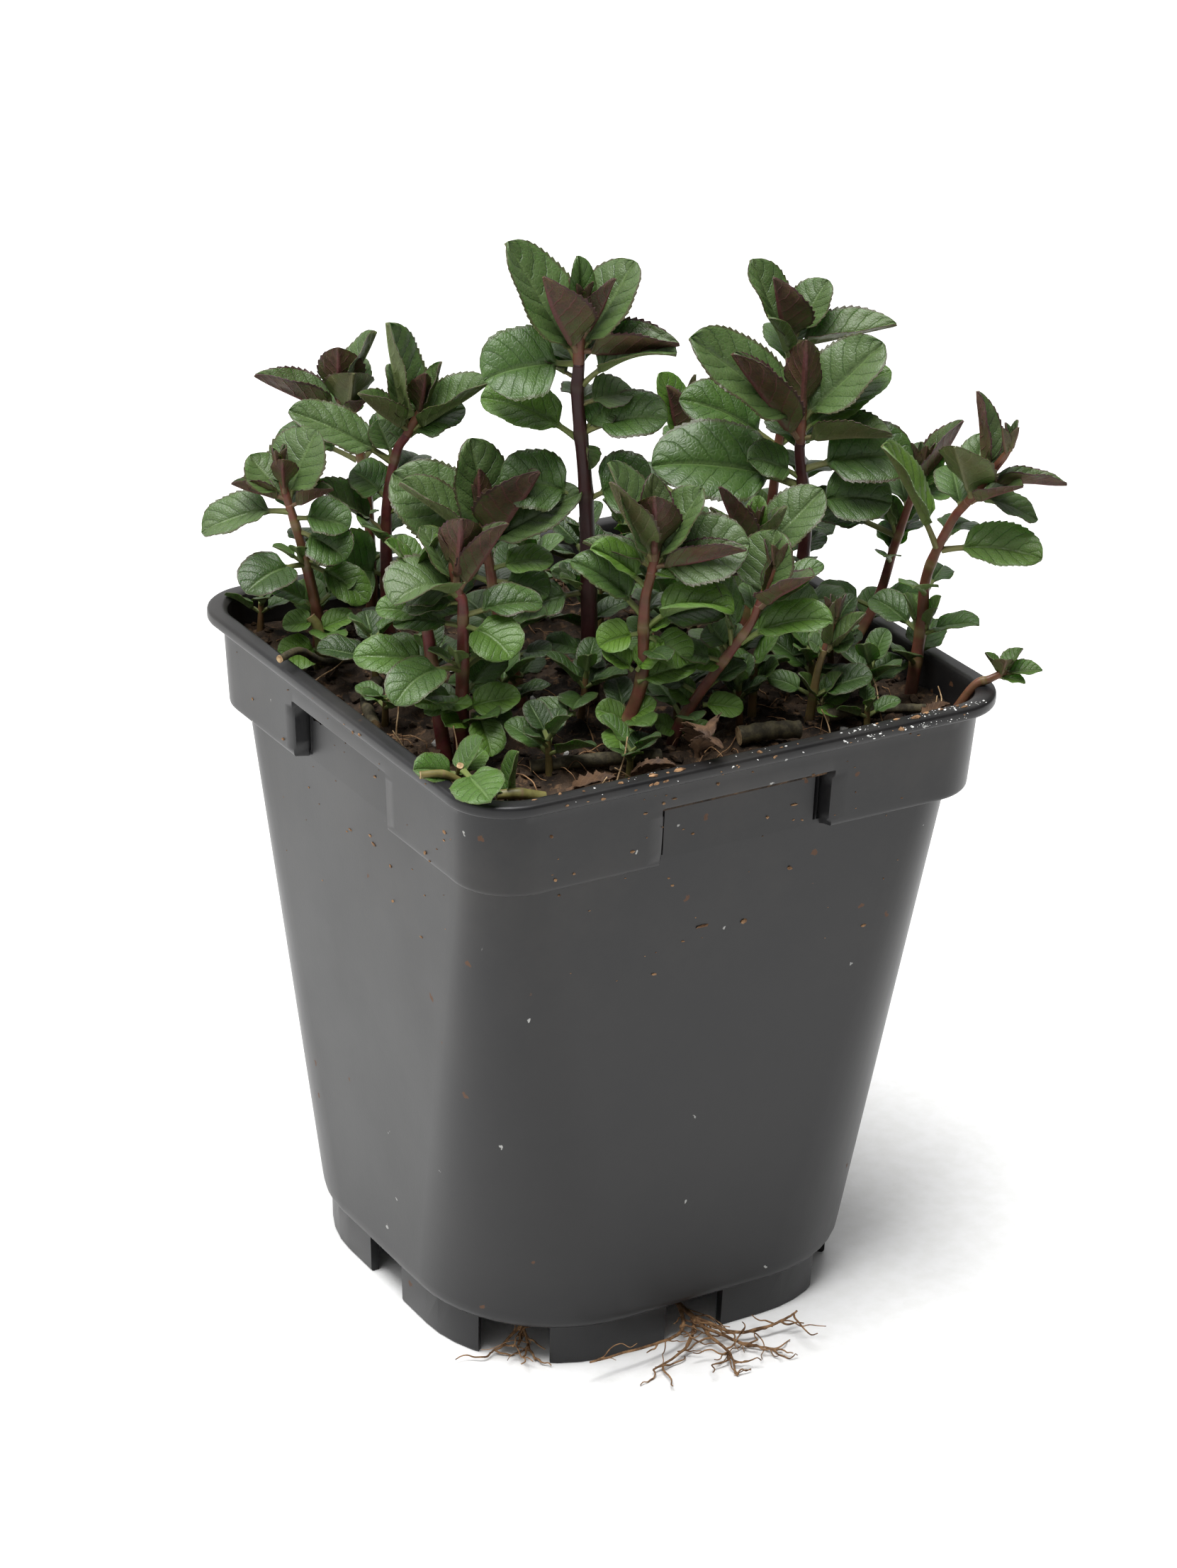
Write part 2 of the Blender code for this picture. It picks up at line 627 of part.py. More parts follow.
def build_pair(name, number, z, rows):
    """Two opposite leaves that share a ring clasping the stem."""
    inner = stem_radius(name, stem_share(name, z)) + RING_GAP
    outer = inner + RING_WALL
    loops = []
    for offset, radius in ((-1, outer), (1, outer), (1, inner), (-1, inner)):
        level = z + offset * RING_HALF_HEIGHT
        loops.append(level_ring(stem_point(name, level), radius, STEM_SIDES))
    points = [p for loop in loops for p in loop]
    faces = []
    for loop in range(4):
        low = loop * STEM_SIDES
        high = ((loop + 1) % 4) * STEM_SIDES
        for k in range(STEM_SIDES):
            nxt = (k + 1) % STEM_SIDES
            faces.append((low + k, low + nxt, high + nxt, high + k))
    ring = add_body("leaf_pair_%s%d" % (name, number), points, faces)
    leaves = []
    for row in rows:
        heading = math.radians(row[0])
        out = Vector((math.cos(heading), math.sin(heading), 0)) * (inner + RING_WALL * 0.45)
        leaves.append(leaf_solid(stem_point(name, z) + out, *row))
    pair = combine(ring, leaves, "UNION")
    finish(pair, "leaf", False)
    return pair


def tube(name, points, start, end, sides):
    """A tapering strand through a chain of points."""
    chain = [Vector(p) for p in points]
    rings = []
    for k, centre in enumerate(chain):
        ahead = (chain[min(k + 1, len(chain) - 1)] - chain[max(k - 1, 0)]).normalized()
        across = ahead.cross(Vector((0.31, 0.17, 0.94))).normalized()
        over = across.cross(ahead)
        radius = start + (end - start) * k / (len(chain) - 1)
        turns = [2 * math.pi * n / sides for n in range(sides)]
        rings.append([centre + (across * math.cos(a) + over * math.sin(a)) * radius for a in turns])
    return loft(name, rings)


def build_roots(name):
    """Root strands that grew out through a drain hole."""
    strands = []
    for points, radius in ROOTS[name]:
        strands.append(tube(name, points, radius, radius * 0.5, ROOT_SIDES))
    roots = combine(strands[0], strands[1:], "UNION")
    roots.name = name
    finish(roots, "root", True)
    return roots


def build_runner(name):
    """A cut length of old runner lying on the soil."""
    low, high, radius = RUNNERS[name]
    middle = (Vector(low) + Vector(high)) / 2 + Vector((0, 0, 0.3))
    runner = tube(name, (low, middle, high), radius, radius * 0.9, 8)
    finish(runner, "runner", True)
    return runner


def build_all():
    """Make every part of the potted plant."""
    start_empty()
    build_pot()
    build_soil()
    for name in SHOOTS:
        build_stem(name)
        build_crown(name)
        for number, (z, *rows) in enumerate(SHOOTS[name]["pairs"], 1):
            build_pair(name, number, z, rows)
    for name in RUNNERS:
        build_runner(name)
    for name in ROOTS:
        build_roots(name)


build_all()
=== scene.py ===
"""Mint plant in a square nursery pot: the fine model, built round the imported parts.

Lengths in the tables are millimetres, headings are degrees counter-clockwise from +X
and rises are degrees above level. Meshes are made in metres.
"""
import math
import random

import bmesh
import bpy
import numpy as np
from mathutils import Matrix, Vector


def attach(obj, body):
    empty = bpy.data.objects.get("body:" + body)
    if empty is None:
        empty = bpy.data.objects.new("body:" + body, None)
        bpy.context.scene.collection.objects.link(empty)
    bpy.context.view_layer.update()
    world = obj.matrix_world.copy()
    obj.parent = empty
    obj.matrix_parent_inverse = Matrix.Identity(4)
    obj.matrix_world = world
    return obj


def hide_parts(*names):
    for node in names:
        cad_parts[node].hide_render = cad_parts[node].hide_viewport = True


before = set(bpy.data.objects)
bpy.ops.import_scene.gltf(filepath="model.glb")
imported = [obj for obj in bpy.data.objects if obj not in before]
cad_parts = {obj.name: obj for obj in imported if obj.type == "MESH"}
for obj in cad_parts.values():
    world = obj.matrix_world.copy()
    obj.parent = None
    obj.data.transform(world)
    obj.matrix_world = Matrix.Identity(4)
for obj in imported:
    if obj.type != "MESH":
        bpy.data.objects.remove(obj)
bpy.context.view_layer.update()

MM = 0.001

# ---------------------------------------------------------------- the pot's sizes
RIM_HALF = 45.0
RIM_CORNER = 9.3
RIM_TOP = 100.0
LIP_HEIGHT = 1.9
COLLAR_HALF_TOP = 43.1
COLLAR_HALF_BOTTOM = 42.4
COLLAR_CORNER = 8.2
OUTER_CORNER = COLLAR_CORNER + 0.6
INNER_CORNER = COLLAR_CORNER - 0.6
COLLAR_BOTTOM = 84.9
BODY_HALF_TOP = 40.3
BODY_CORNER_TOP = 9.0
BODY_HALF_BOTTOM = 35.2
BODY_CORNER_BOTTOM = 22.5
NOTCH_REACH = 14.0
WALL = 0.9
FLOOR_UNDERSIDE = 6.5
FOOT_HALF = 34.0
FOOT_CORNER = 21.6
FOOT_WALL = 1.3
SIDE_GAP = 10.0
CORNER_GAP = 11.0
DRAIN_RADIUS = 2.8
DRAIN_SIDE_REACH = 28.5
DRAIN_CORNER_REACH = 33.5
ARC_STEPS = 12
POT_CREASE = 38

# ---------------------------------------------------------------- the plant
SOIL_EDGE_Z = 94.4
SOIL_CROWN_Z = 96.2
SOIL_HALF = 41.95
SOIL_CORNER = 7.4
SOIL_GAP = 1.6
SOIL_SIDE_STEPS = 96
BUD_HEIGHT = 2.0
# Where the random draws of each kind of piece start.
LITTER_SEED = 31
SPECK_SEED = 77
LOW_LEAF_SEED = 700
LOW_LEAF_SHAPE_SEED = 9000
CROWN_SEED = 1000
SPRIG_SEED = 1500
SPRIG_LEAF_SEED = 12000
PAIR_SEED = 4000
PLACED_SEED = 21000
DRY_SEED = 31000
# Edges sharper than these angles stay crisp.
LEAF_CREASE = 60
WOOD_CREASE = 50
BARK_CREASE = 40
STEM_BASE_RADIUS = 1.25
STEM_TOP_RADIUS = 0.8

# Each shoot: the stem's middle line, how stout and how red it is (0 green, 1 maroon), the height of
# its topmost leaf's foot, the heading that its low leaves turn from, and its leaf joints. A joint is a
# height, then one row per leaf: heading, rise, blade length, width, stalk, fold, curl. A joint without
# rows has its leaves in SHAPED.
SHOOTS = {
    "a": {
        "path": ((-17.5, 37, 95), (-17.5, 38.5, 113), (-19, 40, 123), (-20, 41, 126)),
        "girth": 0.74, "red": 0.7, "bud": 129.5, "turn": 140,
        "pairs": ((119, (140, 15, 9, 7, 3.5, 15, -20), (10, 32, 9, 7, 3, 15, -10)),),
    },
    "b": {
        "path": ((-20, 27, 95), (-20, 28, 114), (-19, 27, 124), (-17.5, 26.5, 127)),
        "girth": 0.86, "red": 0.94, "bud": 130, "turn": 128,
        "pairs": ((123.5,), (104,)),
    },
    "c": {
        "path": ((-33, 25, 95), (-33, 25, 101), (-35, 26, 112), (-36.5, 27.5, 119)),
        "girth": 0.76, "red": 0.7, "bud": 122.5, "turn": 157,
        "pairs": ((116,), (110, (-163, -4, 8.5, 8.5, 3, 12, -35), (-35, -30, 8, 6.5, 2, 12, -10))),
    },
    "d": {
        "path": ((-6, -9, 95), (-7, -9, 115), (-8, -9, 130), (-9, -8, 142), (-9, -8, 147.5)),
        "girth": 1.08, "red": 1.0, "bud": 154.5, "turn": 175,
        "pairs": ((144,), (137,), (128,), (113, (166, -14, 8.5, 8, 2, 12, -20), (40, 8, 9, 8, 2, 12, -20))),
    },
    "e1": {
        "path": ((37, 12, 95), (38, 11, 118), (39, 10, 136)),
        "girth": 0.76, "red": 0.8, "bud": 139.5, "turn": 158,
        "pairs": ((121.5,), (108, (75, 10, 9, 8, 2, 12, -20), (-60, 12, 8, 7, 2, 12, -20))),
    },
    "e2": {
        "path": ((29, -7, 95.6), (31, -8, 114), (30, -7, 127), (30, -7, 129)),
        "girth": 0.98, "red": 0.98, "bud": 137, "turn": 129,
        "pairs": ((122.5,),),
    },
    "f": {
        "path": ((29, 24, 95.4), (29.5, 24, 110), (29.5, 24, 118)),
        "girth": 0.74, "red": 0.6, "bud": 122, "turn": 40.0,
        "pairs": (),
    },
    "g": {
        "path": ((36, -12.5, 95), (41.5, -12.5, 104), (44, -12.5, 112), (45.5, -14, 120)),
        "girth": 0.74, "red": 0.8, "bud": 123.7, "turn": 138,
        "pairs": ((114, (138, 18, 10.5, 7.5, 4.5, 15, -10), (55, 10, 7, 7, 1, 15, -10)),),
    },
    "h": {
        "path": ((39, -26, 95), (40.5, -25.5, 105), (40.5, -26, 113), (42, -29, 122), (43, -31.5, 126)),
        "girth": 0.82, "red": 0.75, "bud": 134, "turn": 133,
        "pairs": ((115,), (104, (110, 20, 7, 6, 1.5, 20, -10), (-64, 24, 7.5, 5, 1.5, 20, -10))),
    },
    "i": {
        "path": ((-16, -6, 96.2), (-17, -5, 101), (-19, -4, 110), (-20.5, -3, 120)),
        "girth": 0.84, "red": 0.75, "bud": 124.5, "turn": -58,
        "pairs": ((114,), (107, (-66, 38, 6.5, 5, 1.5, 20, 0), (100, 20, 7, 7, 1.5, 15, -10))),
    },
    "j": {
        "path": ((-31, -15, 95.5), (-31, -15, 116), (-31.5, -14.5, 119)),
        "girth": 0.9, "red": 0.88, "bud": 122.5, "turn": -164,
        "pairs": ((115.5,), (108, (-160, -3, 9.5, 7.5, 4.5, 12, -60), (10, 10, 7, 6, 2, 15, -20))),
    },
    "k": {
        "path": ((-10, -25, 96), (-10, -25, 98), (-8, -26, 106), (-8, -26, 117), (-7, -26, 122)),
        "girth": 0.9, "red": 0.75, "bud": 125.5, "turn": 172,
        "pairs": ((114,), (106,)),
    },
    "l": {
        "path": ((16, -12, 96.2), (18, -14, 109), (18, -14, 114.5)),
        "girth": 0.76, "red": 0.7, "bud": 118.5, "turn": 125,
        "pairs": ((107, (125, 10, 9, 8, 2, 12, -20), (-20, 8, 8, 7, 2, 12, -20)),),
    },
    "m": {
        "path": ((-3, -27, 96), (-1, -28, 101), (2, -30, 107), (5.5, -32.5, 114), (6.5, -33, 117)),
        "girth": 0.74, "red": 0.8, "bud": 121.5, "turn": 165,
        "pairs": ((112.5,), (108.5, (165, 16, 5, 5.5, 1.5, 15, -10), (75, 8, 7.5, 7, 1.5, 12, -10))),
    },
    "n": {
        "path": ((19, -29, 95.5), (20, -29, 103), (21, -29, 106)),
        "girth": 0.6, "red": 0.3, "bud": 109, "turn": 40.0,
        "pairs": (),
    },
}

# Cut runners lying on the soil: two ends and a radius.
RUNNERS = {
    "runner_front": ((4.5, -32.5, 97.2), (13.5, -34.5, 97.2), 1.4),
}

# Root strands below the pot, each a chain of points and a starting radius.
ROOTS = {
    "roots_front": (
        (((0, -28.4, 7.4), (0, -29, 3.6), (0.5, -34.5, 2.6), (0.5, -38, 1.6)), 0.9),
        (((0, -29.5, 3.4), (-3, -35.6, 2.8), (-9, -37.6, 3.2), (-21, -38.6, 4.0)), 0.55),
        (((0.4, -34, 2.6), (-4, -38.6, 1.4), (-11, -40.6, 0.6)), 0.5),
        (((0.4, -33.5, 2.6), (5, -39, 1.6), (12, -40.4, 2.2), (15, -40, 3.0)), 0.5),
        (((0.5, -36, 2.2), (5, -41.5, 0.9), (9, -44.6, 0.6)), 0.45),
        (((0.5, -37, 1.8), (1, -43, 1.0), (-1, -47.4, 0.6)), 0.45),
    ),
    "roots_corner": (
        (((-23.4, -23.4, 7.4), (-24, -24, 3.4), (-25.6, -25.6, 1.4)), 0.7),
        (((-24, -24, 3.4), (-27.6, -25, 1.2), (-29.6, -25.4, 0.7)), 0.45),
        (((-24, -24, 3.4), (-24.6, -27.4, 1.2), (-25, -29.6, 0.6)), 0.45),
    ),
}


# ---------------------------------------------------------------- shader boards
def node(tree, kind, inputs=None, **settings):
    """Add a shader node; inputs are values or sockets to link, by name or number."""
    made = tree.nodes.new("ShaderNode" + kind)
    for key, value in settings.items():
        setattr(made, key, value)
    for key, value in (inputs or {}).items():
        feed(tree, made.inputs[key], value)
    return made


def feed(tree, socket, value):
    """Set a socket's value, or link it if the value is another socket. Colours come as three shares."""
    if isinstance(value, bpy.types.NodeSocket):
        tree.links.new(value, socket)
    elif socket.type == "RGBA" and len(value) == 3:
        socket.default_value = (*value, 1.0)
    else:
        socket.default_value = value


def calc(tree, operation, *values, clamp=False):
    """A math node's result."""
    made = node(tree, "Math", operation=operation, use_clamp=clamp)
    for socket, value in zip(made.inputs, values):
        feed(tree, socket, value)
    return made.outputs[0]


def times(tree, first, second):
    """A product."""
    return calc(tree, "MULTIPLY", first, second)


def plus(tree, first, second, clamp=False):
    """A sum, held between 0 and 1 if clamp is set."""
    return calc(tree, "ADD", first, second, clamp=clamp)


def minus(tree, first, second):
    """A difference."""
    return calc(tree, "SUBTRACT", first, second)


def ramp(tree, value, low, high, start=0.0, end=1.0):
    """Smooth step of a value between two limits."""
    made = node(tree, "MapRange", {"Value": value, "From Min": low, "From Max": high,
                                   "To Min": start, "To Max": end},
                interpolation_type="SMOOTHSTEP")
    return made.outputs["Result"]


def blend(tree, share, first, second):
    """Mix two colours."""
    made = node(tree, "Mix", data_type="RGBA", blend_type="MIX")
    feed(tree, made.inputs[0], share)
    feed(tree, made.inputs[6], first)
    feed(tree, made.inputs[7], second)
    return made.outputs[2]


def point_values(tree, name):
    """The three values that a mesh keeps at each point under a name."""
    kept = node(tree, "Attribute", attribute_name=name, attribute_type="GEOMETRY").outputs["Vector"]
    return tuple(node(tree, "SeparateXYZ", {"Vector": kept}).outputs)


def new_group(name, takes, gives):
    """An empty shader group with named sockets; returns it with its inner ends."""
    group = bpy.data.node_groups.new(name, "ShaderNodeTree")
    for label, kind, value in takes:
        socket = group.interface.new_socket(label, in_out="INPUT", socket_type="NodeSocket" + kind)
        socket.default_value = value
    for label, kind in gives:
        group.interface.new_socket(label, in_out="OUTPUT", socket_type="NodeSocket" + kind)
    return group, group.nodes.new("NodeGroupInput").outputs, group.nodes.new("NodeGroupOutput").inputs


def place_group(tree, group, inputs=None):
    """Put a group in a material and return its outputs."""
    made = tree.nodes.new("ShaderNodeGroup")
    made.node_tree = group
    for key, value in (inputs or {}).items():
        feed(tree, made.inputs[key], value)
    return made.outputs


def mottle_group():
    """Cloudy patches of two tones, at a size in millimetres."""
    group, takes, gives = new_group(
        "mottle",
        (("First", "Color", (0, 0, 0, 1)), ("Second", "Color", (1, 1, 1, 1)),
         ("Size", "Float", 4.0), ("Softness", "Float", 0.2), ("Balance", "Float", 0.5)),
        (("Color", "Color"), ("Mask", "Float")))
    place = node(group, "TexCoord").outputs["Object"]
    scale = calc(group, "DIVIDE", 1000.0, takes["Size"])
    cloud = node(group, "TexNoise", {"Vector": place, "Scale": scale, "Detail": 5.0, "Roughness": 0.6})
    low = minus(group, takes["Balance"], takes["Softness"])
    high = plus(group, takes["Balance"], takes["Softness"])
    mask = ramp(group, cloud.outputs["Fac"], low, high)
    feed(group, gives["Mask"], mask)
    feed(group, gives["Color"], blend(group, mask, takes["First"], takes["Second"]))
    return group


def grain_group():
    """Fine surface relief: broad waves with a smaller grain on top."""
    group, takes, gives = new_group(
        "grain", (("Size", "Float", 0.5), ("Coarse Share", "Float", 0.5)),
        (("Height", "Float"),))
    place = node(group, "TexCoord").outputs["Object"]
    fine_scale = calc(group, "DIVIDE", 1000.0, takes["Size"])
    coarse_scale = calc(group, "DIVIDE", fine_scale, 6.0)
    fine = node(group, "TexNoise", {"Vector": place, "Scale": fine_scale, "Detail": 3.0}).outputs["Fac"]
    coarse = node(group, "TexNoise", {"Vector": place, "Scale": coarse_scale, "Detail": 2.0}).outputs["Fac"]
    mixed = node(group, "Mix", data_type="FLOAT")
    feed(group, mixed.inputs[0], takes["Coarse Share"])
    feed(group, mixed.inputs[2], fine)
    feed(group, mixed.inputs[3], coarse)
    feed(group, gives["Height"], mixed.outputs[0])
    return group


def dust_group():
    """Peat dust and crumbs left on a surface, with small pale lime marks."""
    group, takes, gives = new_group(
        "peat dust",
        (("Base", "Color", (0, 0, 0, 1)), ("Dust", "Color", (0.2, 0.16, 0.12, 1)),
         ("Amount", "Float", 0.3), ("Specks", "Float", 0.5), ("Lime", "Float", 0.2)),
        (("Color", "Color"), ("Mask", "Float")))
    place = node(group, "TexCoord").outputs["Object"]
    film = node(group, "TexNoise", {"Vector": place, "Scale": 45.0, "Detail": 6.0, "Roughness": 0.65})
    film = ramp(group, film.outputs["Fac"], 0.35, 0.75)
    film = times(group, film, takes["Amount"])
    warp = node(group, "TexNoise", {"Vector": place, "Scale": 900.0, "Detail": 2.0}).outputs["Color"]
    warped = node(group, "VectorMath", {0: warp, 1: (0.0016, 0.0016, 0.0016)}, operation="MULTIPLY")
    place = node(group, "VectorMath", {0: place, 1: warped.outputs[0]}, operation="ADD").outputs[0]
    cells = node(group, "TexVoronoi", {"Vector": place, "Scale": 420.0, "Randomness": 1.0})
    pick = node(group, "SeparateColor", {"Color": cells.outputs["Color"]}).outputs["Red"]
    near = ramp(group, cells.outputs["Distance"], 0.16, 0.24, 1.0, 0.0)
    rare = ramp(group, pick, minus(group, 1.0, times(group, takes["Specks"], 0.1)), 1.0)
    speck = times(group, near, calc(group, "GREATER_THAN", rare, 0.02))
    cells_lime = node(group, "TexVoronoi", {"Vector": place, "Scale": 900.0, "Randomness": 1.0})
    pick_lime = node(group, "SeparateColor", {"Color": cells_lime.outputs["Color"]}).outputs["Green"]
    near_lime = ramp(group, cells_lime.outputs["Distance"], 0.2, 0.3, 1.0, 0.0)
    few = calc(group, "GREATER_THAN", pick_lime,
               minus(group, 1.0, times(group, takes["Lime"], 0.015)))
    lime = times(group, near_lime, few)
    colour = blend(group, film, takes["Base"], takes["Dust"])
    colour = blend(group, times(group, speck, 0.8), colour, (0.10, 0.045, 0.02))
    colour = blend(group, times(group, lime, 0.7), colour, (0.5, 0.5, 0.48))
    feed(group, gives["Color"], colour)
    mask = calc(group, "MAXIMUM", film, calc(group, "MAXIMUM", speck, lime))
    feed(group, gives["Mask"], mask)
    return group


def blade_group():
    """The pattern of a mint blade: side veins, midrib, puckers, net, rim and stalk."""
    group, takes, gives = new_group(
        "mint blade",
        (("Vein Pairs", "Float", 6.0), ("Slant", "Float", 0.3), ("Vein Width", "Float", 0.16)),
        (("Vein", "Float"), ("Midrib", "Float"), ("Pucker", "Float"), ("Net", "Float"),
         ("Rim", "Float"), ("Stalk", "Float"), ("Reach", "Float"), ("Young", "Float"),
         ("Purple", "Float"), ("Pale And Painted Shade", "Float")))
    along, across, seed = point_values(group, "blade_place")
    # The third tone is paleness above zero and painted shade below zero, which darkens a leaf.
    young, purple, pale = point_values(group, "blade_tone")
    reach = calc(group, "ABSOLUTE", across)
    moved = node(group, "CombineXYZ", {"X": times(group, along, 9.0),
                                       "Y": times(group, across, 4.0),
                                       "Z": times(group, seed, 31.0)}).outputs[0]
    waver = node(group, "TexNoise", {"Vector": moved, "Scale": 1.0, "Detail": 2.0}).outputs["Fac"]
    waver = times(group, minus(group, waver, 0.5), 0.35)
    bent = times(group, calc(group, "POWER", reach, 1.2), takes["Slant"])
    phase = times(group, minus(group, along, bent), takes["Vein Pairs"])
    phase = plus(group, phase, plus(group, seed, waver))
    phase = plus(group, phase, times(group, calc(group, "GREATER_THAN", across, 0.0), 0.4))
    share = calc(group, "FRACT", phase)
    edge = times(group, calc(group, "ABSOLUTE", minus(group, share, 0.5)), 2.0)
    vein = ramp(group, edge, minus(group, 1.0, takes["Vein Width"]), 1.0)
    vein = times(group, vein, ramp(group, reach, 0.78, 0.98, 1.0, 0.0))
    on_blade = ramp(group, along, 0.0, 0.06)
    vein = times(group, vein, on_blade)
    midrib = ramp(group, reach, 0.03, 0.10, 1.0, 0.0)
    midrib = times(group, midrib, ramp(group, along, 0.75, 1.0, 1.0, 0.2))
    pucker = calc(group, "POWER", calc(group, "SINE", times(group, share, math.pi)), 0.7)
    pucker = times(group, pucker, ramp(group, reach, 0.0, 0.2))
    pucker = times(group, pucker, ramp(group, reach, 0.75, 1.0, 1.0, 0.0))
    fine = node(group, "CombineXYZ", {"X": times(group, along, 24.0),
                                      "Y": times(group, across, 8.0),
                                      "Z": times(group, seed, 57.0)}).outputs[0]
    net = node(group, "TexVoronoi", {"Vector": fine, "Scale": 1.0}, feature="DISTANCE_TO_EDGE")
    for label, value in (
            ("Vein", vein), ("Midrib", midrib), ("Pucker", times(group, pucker, on_blade)),
            ("Net", ramp(group, net.outputs["Distance"], 0.0, 0.22)),
            ("Rim", ramp(group, reach, 0.86, 0.96)), ("Stalk", ramp(group, along, -0.1, 0.05, 1.0, 0.0)),
            ("Reach", ramp(group, along, 0.05, 0.75)),
            ("Young", young), ("Purple", purple), ("Pale And Painted Shade", pale)):
        feed(group, gives[label], value)
    return group


MOTTLE = mottle_group()
GRAIN = grain_group()
DUST = dust_group()
BLADE = blade_group()


def new_material(name, **fixed):
    """A material with its Principled shader, and that shader's constant settings."""
    material = bpy.data.materials.new(name)
    material.use_nodes = True
    tree = material.node_tree
    shader = tree.nodes["Principled BSDF"]
    for key, value in fixed.items():
        shader.inputs[key.replace("_", " ")].default_value = value
    return material, tree, shader


def relief(tree, shader, height, strength, depth, base=None):
    """Bump a surface by a height that runs from 0 to 1 over a depth in millimetres."""
    bump = node(tree, "Bump", {"Height": height, "Strength": strength, "Distance": depth * MM})
    if base is not None:
        tree.links.new(base, bump.inputs["Normal"])
    tree.links.new(bump.outputs["Normal"], shader.inputs["Normal"])
    return bump.outputs["Normal"]


def mottled(tree, first, second, size, softness=0.2, balance=0.5):
    """Patches of two tones; returns the group's outputs."""
    return place_group(tree, MOTTLE, {"First": first, "Second": second, "Size": size, "Softness": softness,
                                      "Balance": balance})


def grained(tree, shader, size, coarse, strength, depth, base=None):
    """Give a surface its fine relief; returns the relief's height."""
    height = place_group(tree, GRAIN, {"Size": size, "Coarse Share": coarse})["Height"]
    relief(tree, shader, height, strength, depth, base)
    return height


def coat(tree, shader, colour, rough):
    """Set the colour and the roughness of a surface."""
    feed(tree, shader.inputs["Base Color"], colour)
    feed(tree, shader.inputs["Roughness"], rough)


def pot_plastic():
    """Thin black nursery plastic, satin and dusty, with more dust, specks and lime marks higher up."""
    material, tree, shader = new_material("pot_plastic", IOR=1.40)
    tones = mottled(tree, (0.0065, 0.0065, 0.0072), (0.010, 0.010, 0.0108), 26.0, 0.25)
    place = node(tree, "TexCoord").outputs["Object"]
    height = node(tree, "SeparateXYZ", {"Vector": place}).outputs["Z"]
    upper = ramp(tree, height, 0.045, 0.10, 0.12, 0.55)
    dusty = place_group(tree, DUST, {"Base": tones["Color"], "Dust": (0.10, 0.088, 0.075),
                                     "Amount": times(tree, upper, 0.28), "Specks": upper, "Lime": upper})
    rough = plus(tree, 0.33, times(tree, tones["Mask"], 0.08))
    coat(tree, shader, dusty["Color"], plus(tree, rough, times(tree, dusty["Mask"], 0.3)))
    grained(tree, shader, 0.35, 0.4, 0.25, 0.04)
    return material


def peat():
    """Moist dark peat with lighter fibrous patches."""
    material, tree, shader = new_material("peat", Specular_IOR_Level=0.25)
    broad = mottled(tree, (0.009, 0.006, 0.004), (0.052, 0.031, 0.017), 7.0, 0.16, 0.52)
    small = mottled(tree, broad["Color"], (0.100, 0.058, 0.030), 1.3, 0.08, 0.6)
    coat(tree, shader, small["Color"], minus(tree, 0.95, times(tree, broad["Mask"], 0.2)))
    grained(tree, shader, 0.45, 0.45, 0.9, 0.5)
    return material


def plant_fibre(name, dark, light, size):
    """Dry or woody strands: roots, straw and old runners."""
    material, tree, shader = new_material(name, Specular_IOR_Level=0.35)
    tones = mottled(tree, dark, light, size, 0.14)
    coat(tree, shader, tones["Color"], minus(tree, 0.85, times(tree, tones["Mask"], 0.2)))
    grained(tree, shader, 0.18, 0.3, 0.6, 0.12)
    return material


def stem_skin():
    """Square mint stems: maroon on the sunny side, green near the joints, softly glossy."""
    material, tree, shader = new_material("stem_skin", IOR=1.36)
    height, joint, redness = point_values(tree, "stem_place")
    red = mottled(tree, (0.080, 0.013, 0.015), (0.150, 0.033, 0.030), 2.2, 0.22)
    green = mottled(tree, (0.092, 0.078, 0.024), (0.155, 0.150, 0.046), 1.6)
    share = minus(tree, redness, times(tree, ramp(tree, joint, 0.3, 1.0), 0.45))
    wave = times(tree, minus(tree, green["Mask"], 0.5), 0.35)
    colour = blend(tree, plus(tree, share, wave, clamp=True), green["Color"], red["Color"])
    colour = blend(tree, ramp(tree, height, 0.0, 0.12, 0.55, 0.0), colour, (0.045, 0.026, 0.018))
    # Painted highlight: a pale peach wash on each swollen joint stands in for the glint the joints catch.
    colour = blend(tree, times(tree, ramp(tree, joint, 0.82, 1.0), 0.5), colour, (0.19, 0.10, 0.075))
    colour = blend(tree, ramp(tree, redness, 0.9, 1.0, 0.0, 0.85), colour, (0.014, 0.0045, 0.005))
    coat(tree, shader, colour, plus(tree, 0.36, times(tree, red["Mask"], 0.14)))
    grained(tree, shader, 0.25, 0.6, 0.5, 0.08)
    return material


# The two faces of a leaf: gloss, how wide and how strong the veins are, how much of a leaf's purple
# shows, then tones. Green, brown and their patch sizes come first, then the tones that age, painted
# shade, paleness and purple bring.
LEAF_FACES = {
    "leaf_top": {
        "ior": 1.42, "vein_width": 0.15, "midrib": 0.35, "purple": 0.3, "net": 0.12, "rough": 0.30,
        "green": ((0.022, 0.062, 0.0075), (0.042, 0.098, 0.013), 3.5),
        "brown": ((0.030, 0.022, 0.011), (0.050, 0.038, 0.018), 3.0),
        "young": (0.062, 0.100, 0.032), "painted_shade": (0.007, 0.021, 0.0035), "pale": (0.088, 0.180, 0.013),
        "pink": (0.085, 0.110, 0.038),
    },
    "leaf_under": {
        "ior": 1.38, "vein_width": 0.2, "midrib": 0.7, "purple": 0.95, "net": 0.3, "rough": 0.44,
        "green": ((0.060, 0.098, 0.022), (0.095, 0.140, 0.036), 3.0),
        "brown": ((0.026, 0.011, 0.008), (0.066, 0.046, 0.017), 2.5),
        "young": (0.080, 0.112, 0.032), "painted_shade": (0.050, 0.085, 0.024), "pale": (0.130, 0.210, 0.045),
        "pink": (0.110, 0.032, 0.034),
    },
}


